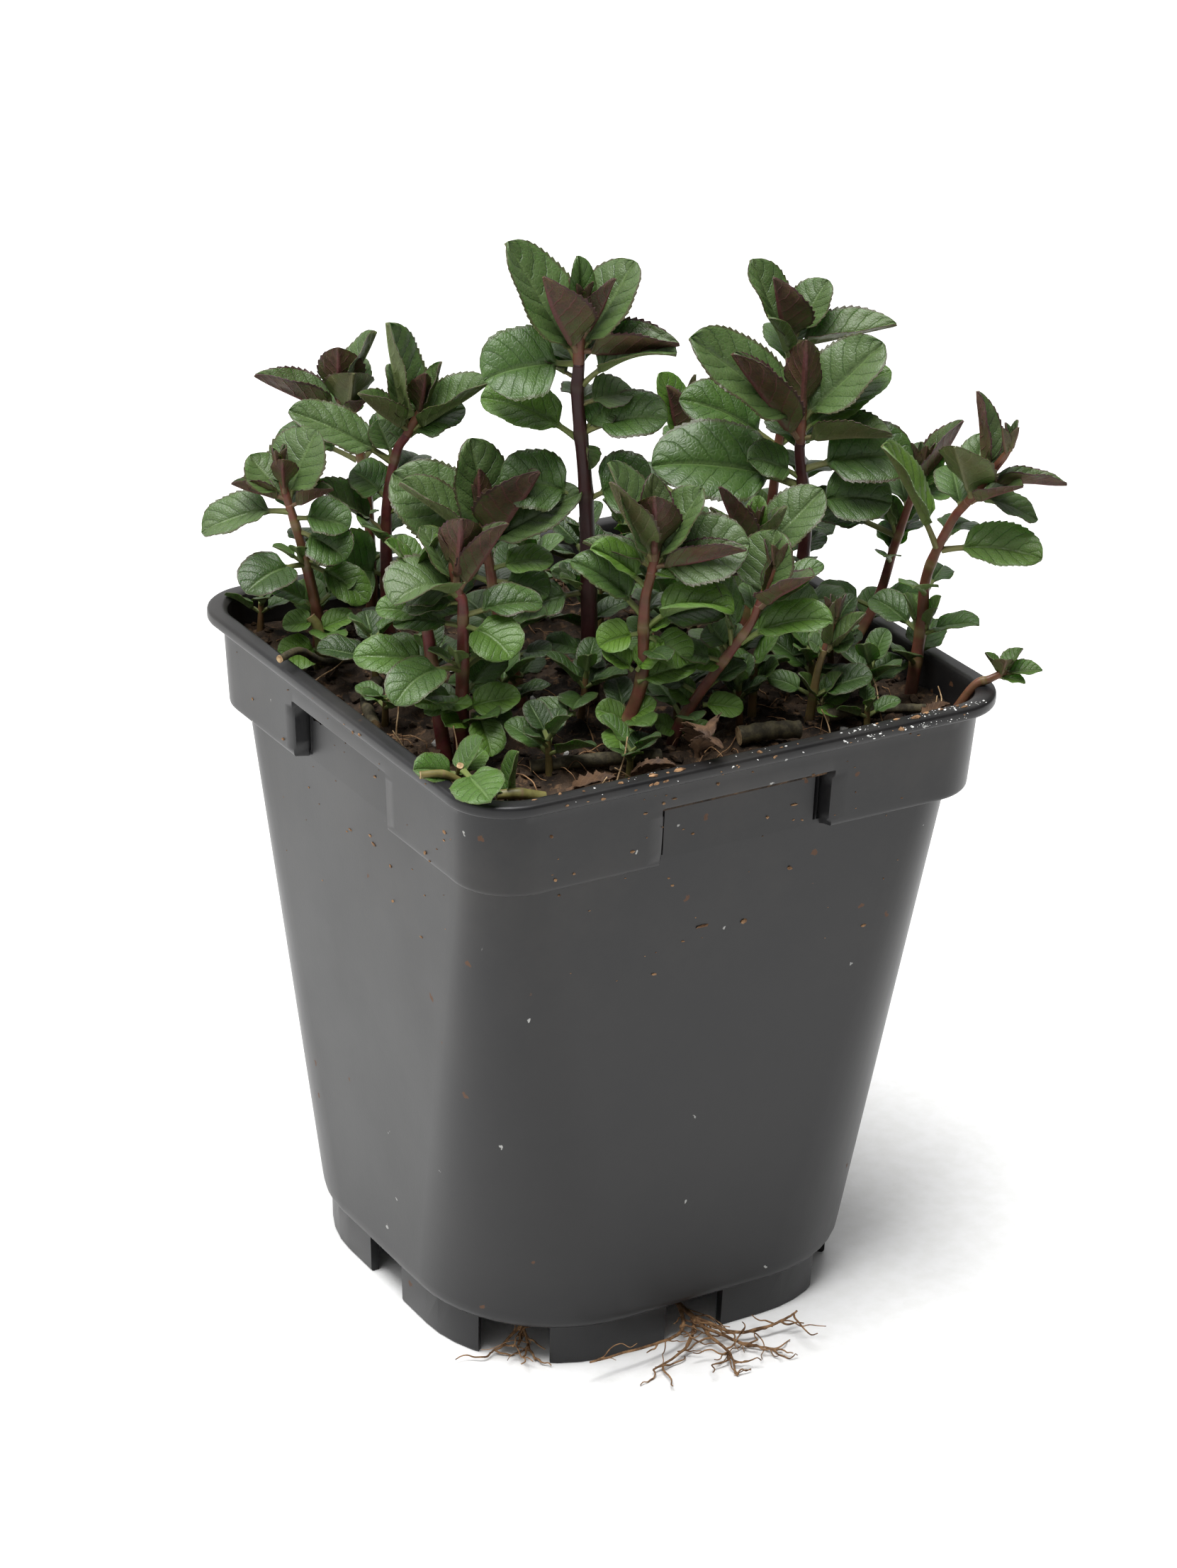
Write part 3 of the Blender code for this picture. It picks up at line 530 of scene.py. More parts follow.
def leaf_face(name):
    """One face of the mint leaves. Age, purple and paleness come from each leaf; paleness below zero is
    painted shade.
    """
    look, under = LEAF_FACES[name], name == "leaf_under"
    material, tree, shader = new_material(name, IOR=look["ior"], Subsurface_Weight=0.12,
                                          Subsurface_Radius=(0.5, 1.0, 0.15), Subsurface_Scale=0.0008)
    blade = place_group(tree, BLADE, {"Vein Pairs": VEIN_PAIRS, "Slant": VEIN_SLANT,
                                      "Vein Width": look["vein_width"]})
    green, brown = mottled(tree, *look["green"]), mottled(tree, *look["brown"])
    fresh = blend(tree, blade["Young"], green["Color"], look["young"])
    # Painted shade: paleness below zero blends a leaf toward a dark tone, standing in for the shade that
    # low leaves sit in among the stems.
    fresh = blend(tree, ramp(tree, blade["Pale And Painted Shade"], -1.0, 0.0, 0.85, 0.0), fresh, look["painted_shade"])
    fresh = blend(tree, blade["Pale And Painted Shade"], fresh, look["pale"])
    share = times(tree, blade["Purple"], look["purple"])
    share = times(tree, share, plus(tree, 0.4, times(tree, blade["Reach"], 0.75)))
    patch = times(tree, minus(tree, brown["Mask"], 0.4), times(tree, share, 0.7))
    colour = blend(tree, plus(tree, share, patch, clamp=True), fresh, brown["Color"])
    pale_vein = blend(tree, blade["Purple"], (0.130, 0.200, 0.070), look["pink"])
    veins = times(tree, blade["Midrib"], look["midrib"])
    if under:
        veins = calc(tree, "MAXIMUM", veins, times(tree, blade["Vein"], 0.6))
    else:
        # Painted shade: the side veins on the upper face are darkened, standing in for the shade in their
        # sunk grooves.
        colour = blend(tree, times(tree, blade["Vein"], 0.5), colour, (0.012, 0.032, 0.006))
    colour = blend(tree, veins, colour, pale_vein)
    colour = blend(tree, times(tree, minus(tree, 1.0, blade["Net"]), look["net"]), colour, pale_vein)
    rim = blend(tree, times(tree, blade["Pale And Painted Shade"], 0.9), (0.040, 0.014, 0.016), (0.120, 0.210, 0.070))
    rim_share = plus(tree, 0.3, times(tree, blade["Purple"], 1.3))
    colour = blend(tree, calc(tree, "MULTIPLY", blade["Rim"], rim_share, clamp=True), colour, rim)
    stalk = blend(tree, blade["Purple"], (0.130, 0.170, 0.045), (0.170, 0.105, 0.060))
    colour = blend(tree, blade["Stalk"], colour, stalk)
    ribs = calc(tree, "MAXIMUM", blade["Vein"], blade["Midrib"])
    if under:
        height = plus(tree, ribs, times(tree, minus(tree, 1.0, blade["Net"]), 0.3))
    else:
        height = minus(tree, times(tree, blade["Pucker"], 0.6), times(tree, ribs, 0.7))
        height = plus(tree, height, times(tree, blade["Net"], 0.3))
    base = relief(tree, shader, height, 0.6, 0.11 if under else 0.13)
    grain = grained(tree, shader, 0.22, 0.35, 0.25, 0.05, base)
    rough = plus(tree, look["rough"], times(tree, grain, 0.14))
    coat(tree, shader, colour, plus(tree, rough, times(tree, blade["Young"], 0.08)))
    return material


def dry_leaf():
    """Withered leaf scraps, papery brown."""
    material, tree, shader = new_material("dry_leaf", Specular_IOR_Level=0.3)
    blade = place_group(tree, BLADE, {"Vein Pairs": VEIN_PAIRS, "Slant": VEIN_SLANT})
    tones = mottled(tree, (0.030, 0.015, 0.008), (0.095, 0.052, 0.026), 2.5)
    colour = blend(tree, times(tree, blade["Vein"], 0.5), tones["Color"], (0.13, 0.08, 0.045))
    coat(tree, shader, colour, plus(tree, 0.7, times(tree, tones["Mask"], 0.2)))
    grained(tree, shader, 0.4, 0.6, 0.7, 0.3)
    return material


def grit(name, dark, light):
    """Small mineral crumbs, such as perlite and dried lime."""
    material, tree, shader = new_material(name)
    tones = mottled(tree, dark, light, 0.8)
    coat(tree, shader, tones["Color"], plus(tree, 0.7, times(tree, tones["Mask"], 0.2)))
    grained(tree, shader, 0.3, 0.5, 0.6, 0.1)
    return material


VEIN_PAIRS = 6.0
VEIN_SLANT = 0.3
POT_PLASTIC = pot_plastic()
PEAT = peat()
STEM_SKIN = stem_skin()
LEAF_TOP = leaf_face("leaf_top")
LEAF_UNDER = leaf_face("leaf_under")
DRY_LEAF = dry_leaf()
ROOT_BROWN = plant_fibre("root_brown", (0.10, 0.05, 0.022), (0.30, 0.17, 0.08), 1.5)
STRAW = plant_fibre("straw", (0.20, 0.12, 0.055), (0.42, 0.29, 0.16), 2.0)
# The runner bark is dark partly by its own colour and partly as painted shade: its tones are held low for
# runners lying in deep shade.
BARK_WITH_PAINTED_SHADE = plant_fibre("runner_bark_with_painted_shade", (0.020, 0.016, 0.008), (0.055, 0.045, 0.020), 1.2)
CUT_WOOD = plant_fibre("cut_end", (0.17, 0.10, 0.045), (0.40, 0.28, 0.15), 0.8)
PERLITE = grit("perlite", (0.30, 0.29, 0.27), (0.55, 0.54, 0.52))
LIME = grit("dried_lime", (0.45, 0.45, 0.44), (0.72, 0.72, 0.70))


# ---------------------------------------------------------------- making pieces
class Lot:
    """Points and faces of one piece, gathered in millimetres."""

    def __init__(self):
        self.points, self.faces, self.finishes, self.layers = [], [], [], {}
        self.count = 0

    def add(self, points, faces, finish=0, **layers):
        """Add a block of points (n, 3) with faces that count from its first point."""
        points = np.asarray(points, float).reshape(-1, 3)
        start = self.count
        for key in set(self.layers) | set(layers):
            before = self.layers.setdefault(key, [np.zeros((start, 3))] if start else [])
            before.append(np.asarray(layers[key], float).reshape(-1, 3) if key in layers
                          else np.zeros((len(points), 3)))
        self.points.append(points)
        self.faces.extend(tuple(start + k for k in face) for face in faces)
        self.finishes.extend(finish if isinstance(finish, list) else [finish] * len(faces))
        self.count += len(points)


def make_piece(name, lot, materials, stands_for=(), smooth=True, crease=None):
    """Turn a lot into an object that rides on the potted plant."""
    mesh = bpy.data.meshes.new(name)
    mesh.from_pydata((np.concatenate(lot.points) * MM).tolist(), [], lot.faces)
    for key, blocks in lot.layers.items():
        layer = mesh.attributes.new(key, "FLOAT_VECTOR", "POINT")
        layer.data.foreach_set("vector", np.concatenate(blocks).astype(np.float32).ravel())
    for material in materials:
        mesh.materials.append(material)
    mesh.polygons.foreach_set("material_index", lot.finishes)
    mesh.polygons.foreach_set("use_smooth", [smooth] * len(lot.faces))
    if crease is not None:
        mesh.set_sharp_from_angle(angle=math.radians(crease))
    mesh.update()
    piece = bpy.data.objects.new(name, mesh)
    bpy.context.scene.collection.objects.link(piece)
    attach(piece, "root")
    if stands_for:
        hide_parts(*stands_for)


def ring_faces(levels, around, last_cap=True):
    """Faces of a skin over equal rings, facing out when each ring runs clockwise seen from ahead."""
    faces = []
    for level in range(levels - 1):
        low, high = level * around, (level + 1) * around
        for k in range(around):
            nxt = (k + 1) % around
            faces.append((low + k, high + k, high + nxt, low + nxt))
    faces.append(tuple(range(around)))
    if last_cap:
        faces.append(tuple(range(levels * around - 1, (levels - 1) * around - 1, -1)))
    return faces


def smooth_path(points, steps):
    """A rounded line through points, with a number of steps between each two."""
    points = np.asarray(points, float)
    if len(points) == 2:
        return points[0] + np.linspace(0, 1, steps + 1)[:, None] * (points[1] - points[0])
    ends = np.vstack((2 * points[0] - points[1], points, 2 * points[-1] - points[-2]))
    line = []
    for a, b, c, d in zip(ends, ends[1:], ends[2:], ends[3:]):
        for t in np.arange(steps) / steps:
            line.append(0.5 * (2 * b + (c - a) * t + (2 * a - 5 * b + 4 * c - d) * t * t
                               + (3 * b - a - 3 * c + d) * t ** 3))
    return np.array(line + [points[-1]])


def unit(vector):
    """A vector, or rows of them, at length 1."""
    return vector / np.maximum(np.linalg.norm(vector, axis=-1, keepdims=True), 1e-9)


def frames_along(line):
    """Two crosswise directions at each point of a line, turning as little as they can."""
    ahead = unit(np.gradient(line, axis=0))
    start = np.array((1.0, 0.0, 0.0)) if abs(ahead[0][0]) < 0.8 else np.array((0.0, 1.0, 0.0))
    across = [unit(start - ahead[0] * (start @ ahead[0]))]
    for direction in ahead[1:]:
        across.append(unit(across[-1] - direction * (across[-1] @ direction)))
    across = np.array(across)
    return across, np.cross(ahead, across)


def add_strand(lot, line, radii, sides, finish=0, squareness=0.0, turn=0.0, rough=None, **layers):
    """A closed strand along a line. Squareness pushes four corners out."""
    across, over = frames_along(line)
    angle = -2 * math.pi * np.arange(sides) / sides
    swell = 1 + squareness * np.cos(4 * (angle + turn))
    radii = np.asarray(radii, float)[:, None] * swell[None, :]
    if rough is not None:
        radii = radii * rough
    points = (line[:, None, :] + across[:, None, :] * (radii * np.cos(angle + turn))[:, :, None]
              + over[:, None, :] * (radii * np.sin(angle + turn))[:, :, None])
    block = {key: np.repeat(np.asarray(rows, float), sides, axis=0) for key, rows in layers.items()}
    lot.add(points, ring_faces(len(line), sides), finish, **block)


def lump(lot, centre, size, draw, flat=1.0):
    """An uneven crumb, from a twice-cut octahedron."""
    points, faces = LUMP_FORM
    grow = np.array([draw.uniform(0.68, 1.18) for _ in points])
    turn = Matrix.Rotation(draw.uniform(0, 6.28), 3,
                           Vector([draw.gauss(0, 1) for _ in range(3)]).normalized())
    stretch = np.array((draw.uniform(0.7, 1.3), draw.uniform(0.7, 1.3), draw.uniform(0.6, 1.0)))
    body = (points * grow[:, None] * stretch) @ np.array(turn)
    body = body * np.array((1, 1, flat)) * size + np.asarray(centre, float)
    lot.add(body, faces)


def lump_form():
    """Points and faces of an octahedron cut once more, on a sphere."""
    work = bmesh.new()
    bmesh.ops.create_icosphere(work, subdivisions=1, radius=1.0)
    points = np.array([v.co[:] for v in work.verts])
    faces = [tuple(v.index for v in f.verts) for f in work.faces]
    work.free()
    return points, faces


LUMP_FORM = lump_form()


def waves(seed, count, lengths):
    """A repeatable bumpy height over x and y, made of waves between two lengths in millimetres."""
    draw = random.Random(seed)
    parts = []
    for _ in range(count):
        length = lengths[0] * (lengths[1] / lengths[0]) ** draw.random()
        turn = draw.uniform(0, 2 * math.pi)
        parts.append((2 * math.pi * math.cos(turn) / length, 2 * math.pi * math.sin(turn) / length,
                      draw.uniform(0, 2 * math.pi), length / lengths[1]))
    total = sum(part[3] for part in parts) ** 0.5

    def height(x, y):
        return sum(share * np.sin(kx * x + ky * y + shift) for kx, ky, shift, share in parts) / total
    return height


# ---------------------------------------------------------------- pot
def side_columns(reach, straight):
    """Places along one flat side: close together at the notch ends, then on to the corner."""
    inner = (0.0, 0.3, 0.6, 0.85, 0.90, 0.915, 0.93, 0.945, 0.965, 0.985, 1.005, 1.03)
    outer = (0.12, 0.3, 0.5, 0.72, 0.88, 1.0)
    half = [share * reach for share in inner]
    half += [half[-1] + share * (straight - half[-1]) for share in outer]
    return [-x for x in reversed(half[1:])] + half


def pot_ring(half, corner, z, depth=None):
    """One level of the wall. depth gives how far each inner column is set in."""
    straight = half - corner
    reach = NOTCH_REACH if z > COLLAR_BOTTOM - 1 else min(NOTCH_REACH, 0.447 * straight)
    columns = side_columns(reach, straight)
    middle = len(columns) // 2
    ring = []
    for c, s in ((1, 0), (0, 1), (-1, 0), (0, -1)):
        for k, along in enumerate(columns):
            set_in = depth[abs(k - middle)] if depth and abs(k - middle) < len(depth) else 0.0
            x, y = half - set_in, along
            ring.append((c * x - s * y, s * x + c * y, z))
        for k in range(1, ARC_STEPS):
            angle = math.radians(90 * k / ARC_STEPS)
            x, y = straight + corner * math.cos(angle), straight + corner * math.sin(angle)
            ring.append((c * x - s * y, s * x + c * y, z))
    return ring


def body_half(z):
    """Half width and corner radius of the tapered wall at a height."""
    share = (z - FLOOR_UNDERSIDE) / (COLLAR_BOTTOM - FLOOR_UNDERSIDE)
    return (BODY_HALF_BOTTOM + share * (BODY_HALF_TOP - BODY_HALF_BOTTOM),
            BODY_CORNER_BOTTOM + share * (BODY_CORNER_TOP - BODY_CORNER_BOTTOM))


def collar_half(z):
    """Half width of the stepped collar at a height."""
    share = (z - COLLAR_BOTTOM) / (RIM_TOP - LIP_HEIGHT - COLLAR_BOTTOM)
    return COLLAR_HALF_BOTTOM + share * (COLLAR_HALF_TOP - COLLAR_HALF_BOTTOM)


def notch_depths(z, groove):
    """How far the columns of a notch lie inside the collar, with a thin rib beside each end."""
    wall = collar_half(z) - (BODY_HALF_TOP + 0.03 * (z - COLLAR_BOTTOM))
    if not groove:
        return [wall] * 10 + [wall * 0.55]
    return [wall] * 4 + [wall, wall + 0.7, wall + 0.7, wall + 0.1, wall + 0.7, wall + 0.7, 0.25]


# The lip's section, from its underside over the top and down the inside: half width, height.
LIP_SHAPE = ((43.15, 98.08), (44.55, 98.1), (44.82, 98.2), (44.98, 98.45), (45.0, 98.8), (45.0, 99.45),
             (44.9, 99.78), (44.68, 99.95), (44.4, 100.0), (43.0, 99.97), (42.55, 99.85), (42.3, 99.55))


def pot_walls():
    """Rings of the wall, up the outside, over the lip and down the inside."""
    rings = []
    for z, inset in ((6.5, 1.7), (6.55, 1.0), (6.8, 0.5), (7.3, 0.18), (8.0, 0.03), (9.0, 0.0)):
        half, corner = body_half(z)
        rings.append(pot_ring(half - inset, corner - inset, z))
    for z in (14, 20, 27, 34, 41, 48, 55, 62, 69, 76, 81, 84.3, 84.75):
        half, corner = body_half(z)
        rings.append(pot_ring(half, corner, z))
    for z, inset in ((84.9, 0.45), (84.95, 0.2), (85.15, 0.04), (85.5, 0.0)):
        depth = notch_depths(z, False)
        depth = [d - inset for d in depth[:10]] + [depth[10] - inset * 0.5]
        rings.append(pot_ring(collar_half(z) - inset, OUTER_CORNER - inset, z, depth))
    for z in (86.2, 87.5, 89.0, 91.0, 92.6, 93.4):
        rings.append(pot_ring(collar_half(z), OUTER_CORNER, z, notch_depths(z, z < 93)))
    for z, depth in ((93.75, notch_depths(93.75, False)), (93.8, [0.35] * 11), (93.9, [0.08] * 11)):
        rings.append(pot_ring(collar_half(z), OUTER_CORNER, z, depth))
    for z in (94.2, 96.0, 97.9):
        rings.append(pot_ring(collar_half(z), OUTER_CORNER, z))
    for half, z in LIP_SHAPE:
        rings.append(pot_ring(half, max(half - RIM_HALF + RIM_CORNER, INNER_CORNER), z))
    inner = COLLAR_HALF_TOP - WALL
    for z, half in ((98.5, inner), (96.5, inner - 0.06), (95.0, inner - 0.1)):
        rings.append(pot_ring(half, INNER_CORNER, z))
    for z, share in ((94.75, 0.0), (94.65, 0.5), (94.6, 1.0), (93.0, 1.05), (86.5, 1.1)):
        half = collar_half(z) - WALL
        rings.append(pot_ring(half, INNER_CORNER, z, [2.0 * share] * 11))
    for z in (85.0, 70, 50, 30, 12, 7.7):
        half, corner = body_half(z)
        rings.append(pot_ring(half - WALL - (0.4 if z == 7.7 else 0.0), corner - WALL, z))
    return rings


def solid_object(name, rings):
    """A loose closed solid for cutting or joining."""
    around = len(rings[0])
    mesh = bpy.data.meshes.new(name)
    points = np.array([p for ring in rings for p in ring]) * MM
    mesh.from_pydata(points.tolist(), [], ring_faces(len(rings), around))
    work = bmesh.new()
    work.from_mesh(mesh)
    bmesh.ops.recalc_face_normals(work, faces=work.faces)
    work.to_mesh(mesh)
    work.free()
    made = bpy.data.objects.new(name, mesh)
    bpy.context.scene.collection.objects.link(made)
    return made


def combine(target, tools, operation):
    """Run exact Booleans one after another, keep the result and drop the tools."""
    for tool in tools:
        step = target.modifiers.new(operation.lower(), "BOOLEAN")
        step.operation, step.solver, step.object = operation, "EXACT", tool
    graph = bpy.context.evaluated_depsgraph_get()
    solid = bpy.data.meshes.new_from_object(target.evaluated_get(graph))
    target.modifiers.clear()
    target.data = solid
    for tool in tools:
        bpy.data.objects.remove(tool, do_unlink=True)
    return target


def square_outline(half, corner, z, steps=10):
    """A rounded square at one height."""
    outline = []
    for quarter, (sx, sy) in enumerate(((1, 1), (-1, 1), (-1, -1), (1, -1))):
        for k in range(steps + 1):
            angle = math.radians(90 * quarter + 90 * k / steps)
            outline.append((sx * (half - corner) + corner * math.cos(angle),
                            sy * (half - corner) + corner * math.sin(angle), z))
    return outline


def turned(points, degrees):
    """Turn points about the pot's axis."""
    c, s = math.cos(math.radians(degrees)), math.sin(math.radians(degrees))
    return [(c * x - s * y, s * x + c * y, z) for x, y, z in points]


def foot_parts():
    """The foot ring, cut into eight feet with softened lower edges."""
    ring = solid_object("foot_ring", [square_outline(FOOT_HALF - inset, FOOT_CORNER - inset, z)
                                      for z, inset in ((0, 0.45), (0.15, 0.15), (0.5, 0), (7.1, -0.25))])
    inner = FOOT_HALF - FOOT_WALL
    cuts = [solid_object("foot_middle", [square_outline(inner, FOOT_CORNER - FOOT_WALL, z)
                                         for z in (-1, FLOOR_UNDERSIDE)])]
    for turn in range(0, 360, 45):
        half = (SIDE_GAP if turn % 90 == 0 else CORNER_GAP) / 2
        corners = [(24, -half), (60, -half), (60, half), (24, half)]
        cuts.append(solid_object("foot_gap", [turned([(x, y, z) for x, y in corners], turn)
                                              for z in (-1, FLOOR_UNDERSIDE)]))
    return combine(ring, cuts, "DIFFERENCE")


def drain_rods():
    """Bars where the floor is open."""
    rods = []
    for turn in range(0, 360, 45):
        reach = DRAIN_SIDE_REACH if turn % 90 == 0 else DRAIN_CORNER_REACH
        cx, cy = reach * math.cos(math.radians(turn)), reach * math.sin(math.radians(turn))
        circle = [(cx + DRAIN_RADIUS * math.cos(a), cy + DRAIN_RADIUS * math.sin(a))
                  for a in np.linspace(0, 2 * math.pi, 20, endpoint=False)]
        rods.append(solid_object("drain", [[(x, y, z) for x, y in circle] for z in (4, 10)]))
    return rods


def build_pot():
    """The moulded pot, with its lip, notched collar, floor, drains and feet."""
    pot = solid_object("moulded_pot", pot_walls())
    pot = combine(pot, [foot_parts()], "UNION")
    pot = combine(pot, drain_rods(), "DIFFERENCE")
    mesh = pot.data
    mesh.name = "moulded_pot"
    mesh.materials.clear()
    mesh.materials.append(POT_PLASTIC)
    mesh.polygons.foreach_set("material_index", [0] * len(mesh.polygons))
    mesh.polygons.foreach_set("use_smooth", [True] * len(mesh.polygons))
    mesh.set_sharp_from_angle(angle=math.radians(POT_CREASE))
    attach(pot, "root")
    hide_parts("pot")


# ---------------------------------------------------------------- soil
SOIL_LUMPS = waves(11, 26, (7, 24))
SOIL_CLODS = waves(12, 40, (2.2, 6))
SOIL_CRUMBS = waves(13, 60, (0.8, 2.0))


def soil_height(x, y):
    """Level of the soil's surface."""
    reach = np.maximum(np.abs(x), np.abs(y))
    dome = SOIL_CROWN_Z - (SOIL_CROWN_Z - SOIL_EDGE_Z) * np.minimum(1.0, reach / 42.0) ** 2
    hollow = 1.6 * np.exp(-(((x + 34) / 10) ** 2 + ((y - 2) / 14) ** 2))
    edge = np.clip((42.0 - reach) / 5.0, 0.0, 1.0)
    return (dome - 0.2 - hollow + SOIL_LUMPS(x, y) * 0.55 + SOIL_CLODS(x, y) * 0.42 * (0.3 + 0.7 * edge)
            + SOIL_CRUMBS(x, y) * 0.16)


def ground_at(x, y):
    """Level of the soil at one place."""
    return float(soil_height(np.array(float(x)), np.array(float(y))))


def inside_square(outline, half, corner):
    """Scale an outline to a half width and bring its corners in to a radius."""
    points = outline / np.abs(outline).max(axis=1)[:, None] * half
    over = np.maximum(np.abs(points) - (half - corner), 0)
    far = np.hypot(over[:, 0], over[:, 1])
    pull = np.where(far > corner, corner / np.maximum(far, 1e-6), 1.0)
    rounded = np.sign(points) * (np.minimum(np.abs(points), half - corner) + over * pull[:, None])
    return np.where(((over > 0).all(axis=1) & (far > corner))[:, None], rounded, points)


def build_soil():
    """The root ball with its broken peat surface."""
    lot = Lot()
    angles = np.linspace(0, 2 * math.pi, 4 * SOIL_SIDE_STEPS, endpoint=False)
    rim = np.column_stack((np.cos(angles), np.sin(angles)))
    rim = inside_square(rim / np.abs(rim).max(axis=1)[:, None] * SOIL_HALF, SOIL_HALF, SOIL_CORNER)
    around = len(rim)
    rings = []
    for z in (8.2, 30.0, 60.0, 84.0, 92.4):
        wall, round_half = body_half(min(z, 84.0))
        ring = inside_square(rim, wall - SOIL_GAP, round_half - SOIL_GAP)
        rings.append(np.column_stack((ring, np.full(around, z))))
    rings.append(np.column_stack((rim * 0.985, np.full(around, 92.8))))
    shares = np.concatenate((np.linspace(1.0, 0.93, 6)[:-1], np.linspace(0.93, 0.03, 70)))
    for share in shares:
        xy = rim * share
        rings.append(np.column_stack((xy, soil_height(xy[:, 0], xy[:, 1]))))
    rings = [ring[::-1] for ring in rings]
    points = np.concatenate(rings)
    faces = ring_faces(len(rings), around, last_cap=False)
    centre = len(points)
    points = np.vstack((points, (0, 0, ground_at(0, 0))))
    low = (len(rings) - 1) * around
    faces += [(low + k, centre, low + (k + 1) % around) for k in range(around)]
    lot.add(points, faces)
    make_piece("peat_ball", lot, [PEAT], ["soil"])


def spot_on_soil(draw, reach=40.5):
    """A place on the soil, inside the rim."""
    x, y = draw.uniform(-reach, reach), draw.uniform(-reach, reach)
    return x, y, ground_at(x, y)


def build_litter():
    """Loose crumbs, fibres and grit on the soil."""
    draw = random.Random(LITTER_SEED)
    crumbs = Lot()
    for _ in range(900):
        x, y, z = spot_on_soil(draw)
        size = 0.35 + 1.0 * draw.random() ** 3
        lump(crumbs, (x, y, z + size * 0.3), size, draw, 0.8)
    make_piece("peat_crumbs", crumbs, [PEAT], smooth=False)

    fibres = Lot()
    for k in range(150):
        x, y, z = spot_on_soil(draw, 39.5)
        heading, length = draw.uniform(0, 6.28), draw.uniform(2.5, 9)
        lift = draw.uniform(0.2, 2.2) if k % 3 else draw.uniform(0.1, 0.6)
        bend = draw.uniform(-0.9, 0.9)
        line = []
        for t in np.linspace(0, 1, 7):
            turn = heading + bend * t
            x += math.cos(turn) * length / 7
            y += math.sin(turn) * length / 7
            x, y = max(-41, min(41, x)), max(-41, min(41, y))
            ground = ground_at(x, y)
            line.append((x, y, ground + 0.1 + lift * math.sin(math.pi * t)))
        radius = draw.uniform(0.06, 0.13)
        add_strand(fibres, smooth_path(line, 2), np.linspace(radius, radius * 0.6, 13), 5)
    make_piece("peat_fibres", fibres, [ROOT_BROWN])

    straws = Lot()
    for x, y, heading, lean, length in STRAWS:
        z = ground_at(x, y)
        ahead = np.array((math.cos(math.radians(heading)) * math.cos(math.radians(lean)),
                          math.sin(math.radians(heading)) * math.cos(math.radians(lean)),
                          math.sin(math.radians(lean))))
        side = np.array((-ahead[1], ahead[0], 0.2))
        start = np.array((x, y, z - 0.6))
        line = [start + ahead * length * share + side * sway
                for share, sway in ((0, 0), (0.35, 0.3), (0.7, -0.2), (1, 0.6))]
        add_strand(straws, smooth_path(line, 4), np.linspace(0.15, 0.09, 13), 5)
    make_piece("straw_fibres", straws, [STRAW])

    white = Lot()
    for _ in range(26):
        x, y, z = spot_on_soil(draw, 38)
        lump(white, (x, y, z + 0.2), draw.uniform(0.35, 0.8), draw)
    make_piece("perlite_grains", white, [PERLITE], smooth=False)


# Straws standing on the soil: x, y, heading, lean, length.
STRAWS = (
    (-37.5, -8.0, 60, 62, 9), (-36, -10, 200, 30, 8), (-38.5, -16, 120, 55, 7), (-35, -22, 80, 70, 8),
    (-25, -38, -60, 60, 8), (-19, -37, 20, 70, 9), (-13, -38, 160, 35, 7), (-3, -38.5, 190, 25, 8),
    (18, -38, 100, 60, 7), (27, -37.5, 75, 40, 12), (31, -38.5, 30, 20, 9), (36, -38, 60, 50, 6),
    (-37, 6, 10, 30, 9), (-38, 18, -40, 40, 7), (12, 36, 60, 50, 8), (30, 33, 150, 40, 9),
    (-10, 37, 20, 60, 7), (38, 5, 100, 60, 7), (37, 22, 200, 40, 8),
)


# ---------------------------------------------------------------- stems
def thickness_at(name, share):
    """Radius of a stem, from its foot (0) to its top (1)."""
    return SHOOTS[name]["girth"] * (STEM_BASE_RADIUS + share * (STEM_TOP_RADIUS - STEM_BASE_RADIUS))


def stem_point(path, z):
    """Where a stem's middle line passes a height, carried on above its top."""
    low, high = path[-2], path[-1]
    for a, b in zip(path, path[1:]):
        if z <= b[2]:
            low, high = a, b
            break
    share = (z - low[2]) / (high[2] - low[2]) if z >= path[0][2] else 0.0
    return np.array((low[0] + share * (high[0] - low[0]), low[1] + share * (high[1] - low[1]), z))


def build_stem(name):
    """A square, grooved stem, swollen at its joints."""
    shoot = SHOOTS[name]
    path = shoot["path"]
    foot = np.array(path[0], float)
    line = smooth_path([foot - (0, 0, 4)] + [np.array(p, float) for p in path], 14)
    line = line[np.concatenate(([True], np.diff(line[:, 2]) > 1e-4))]
    share = np.clip((line[:, 2] - path[0][2]) / (path[-1][2] - path[0][2]), 0, 1)
    radii = np.array([thickness_at(name, s) for s in share])
    levels = [pair[0] for pair in shoot["pairs"]] + [path[-1][2] + 1.5] + [99.5]
    near = np.max([np.exp(-((line[:, 2] - z) / 1.1) ** 2) for z in levels], axis=0)
    radii = radii * (1 + 0.13 * near)
    lot = Lot()
    layer = np.column_stack((share, near, np.full(len(line), shoot["red"])))
    add_strand(lot, line, radii, 24, squareness=0.075, turn=sum(map(ord, name)) * 0.7, stem_place=layer)
    make_piece("shoot_stem_" + name, lot, [STEM_SKIN], ["stem_" + name])


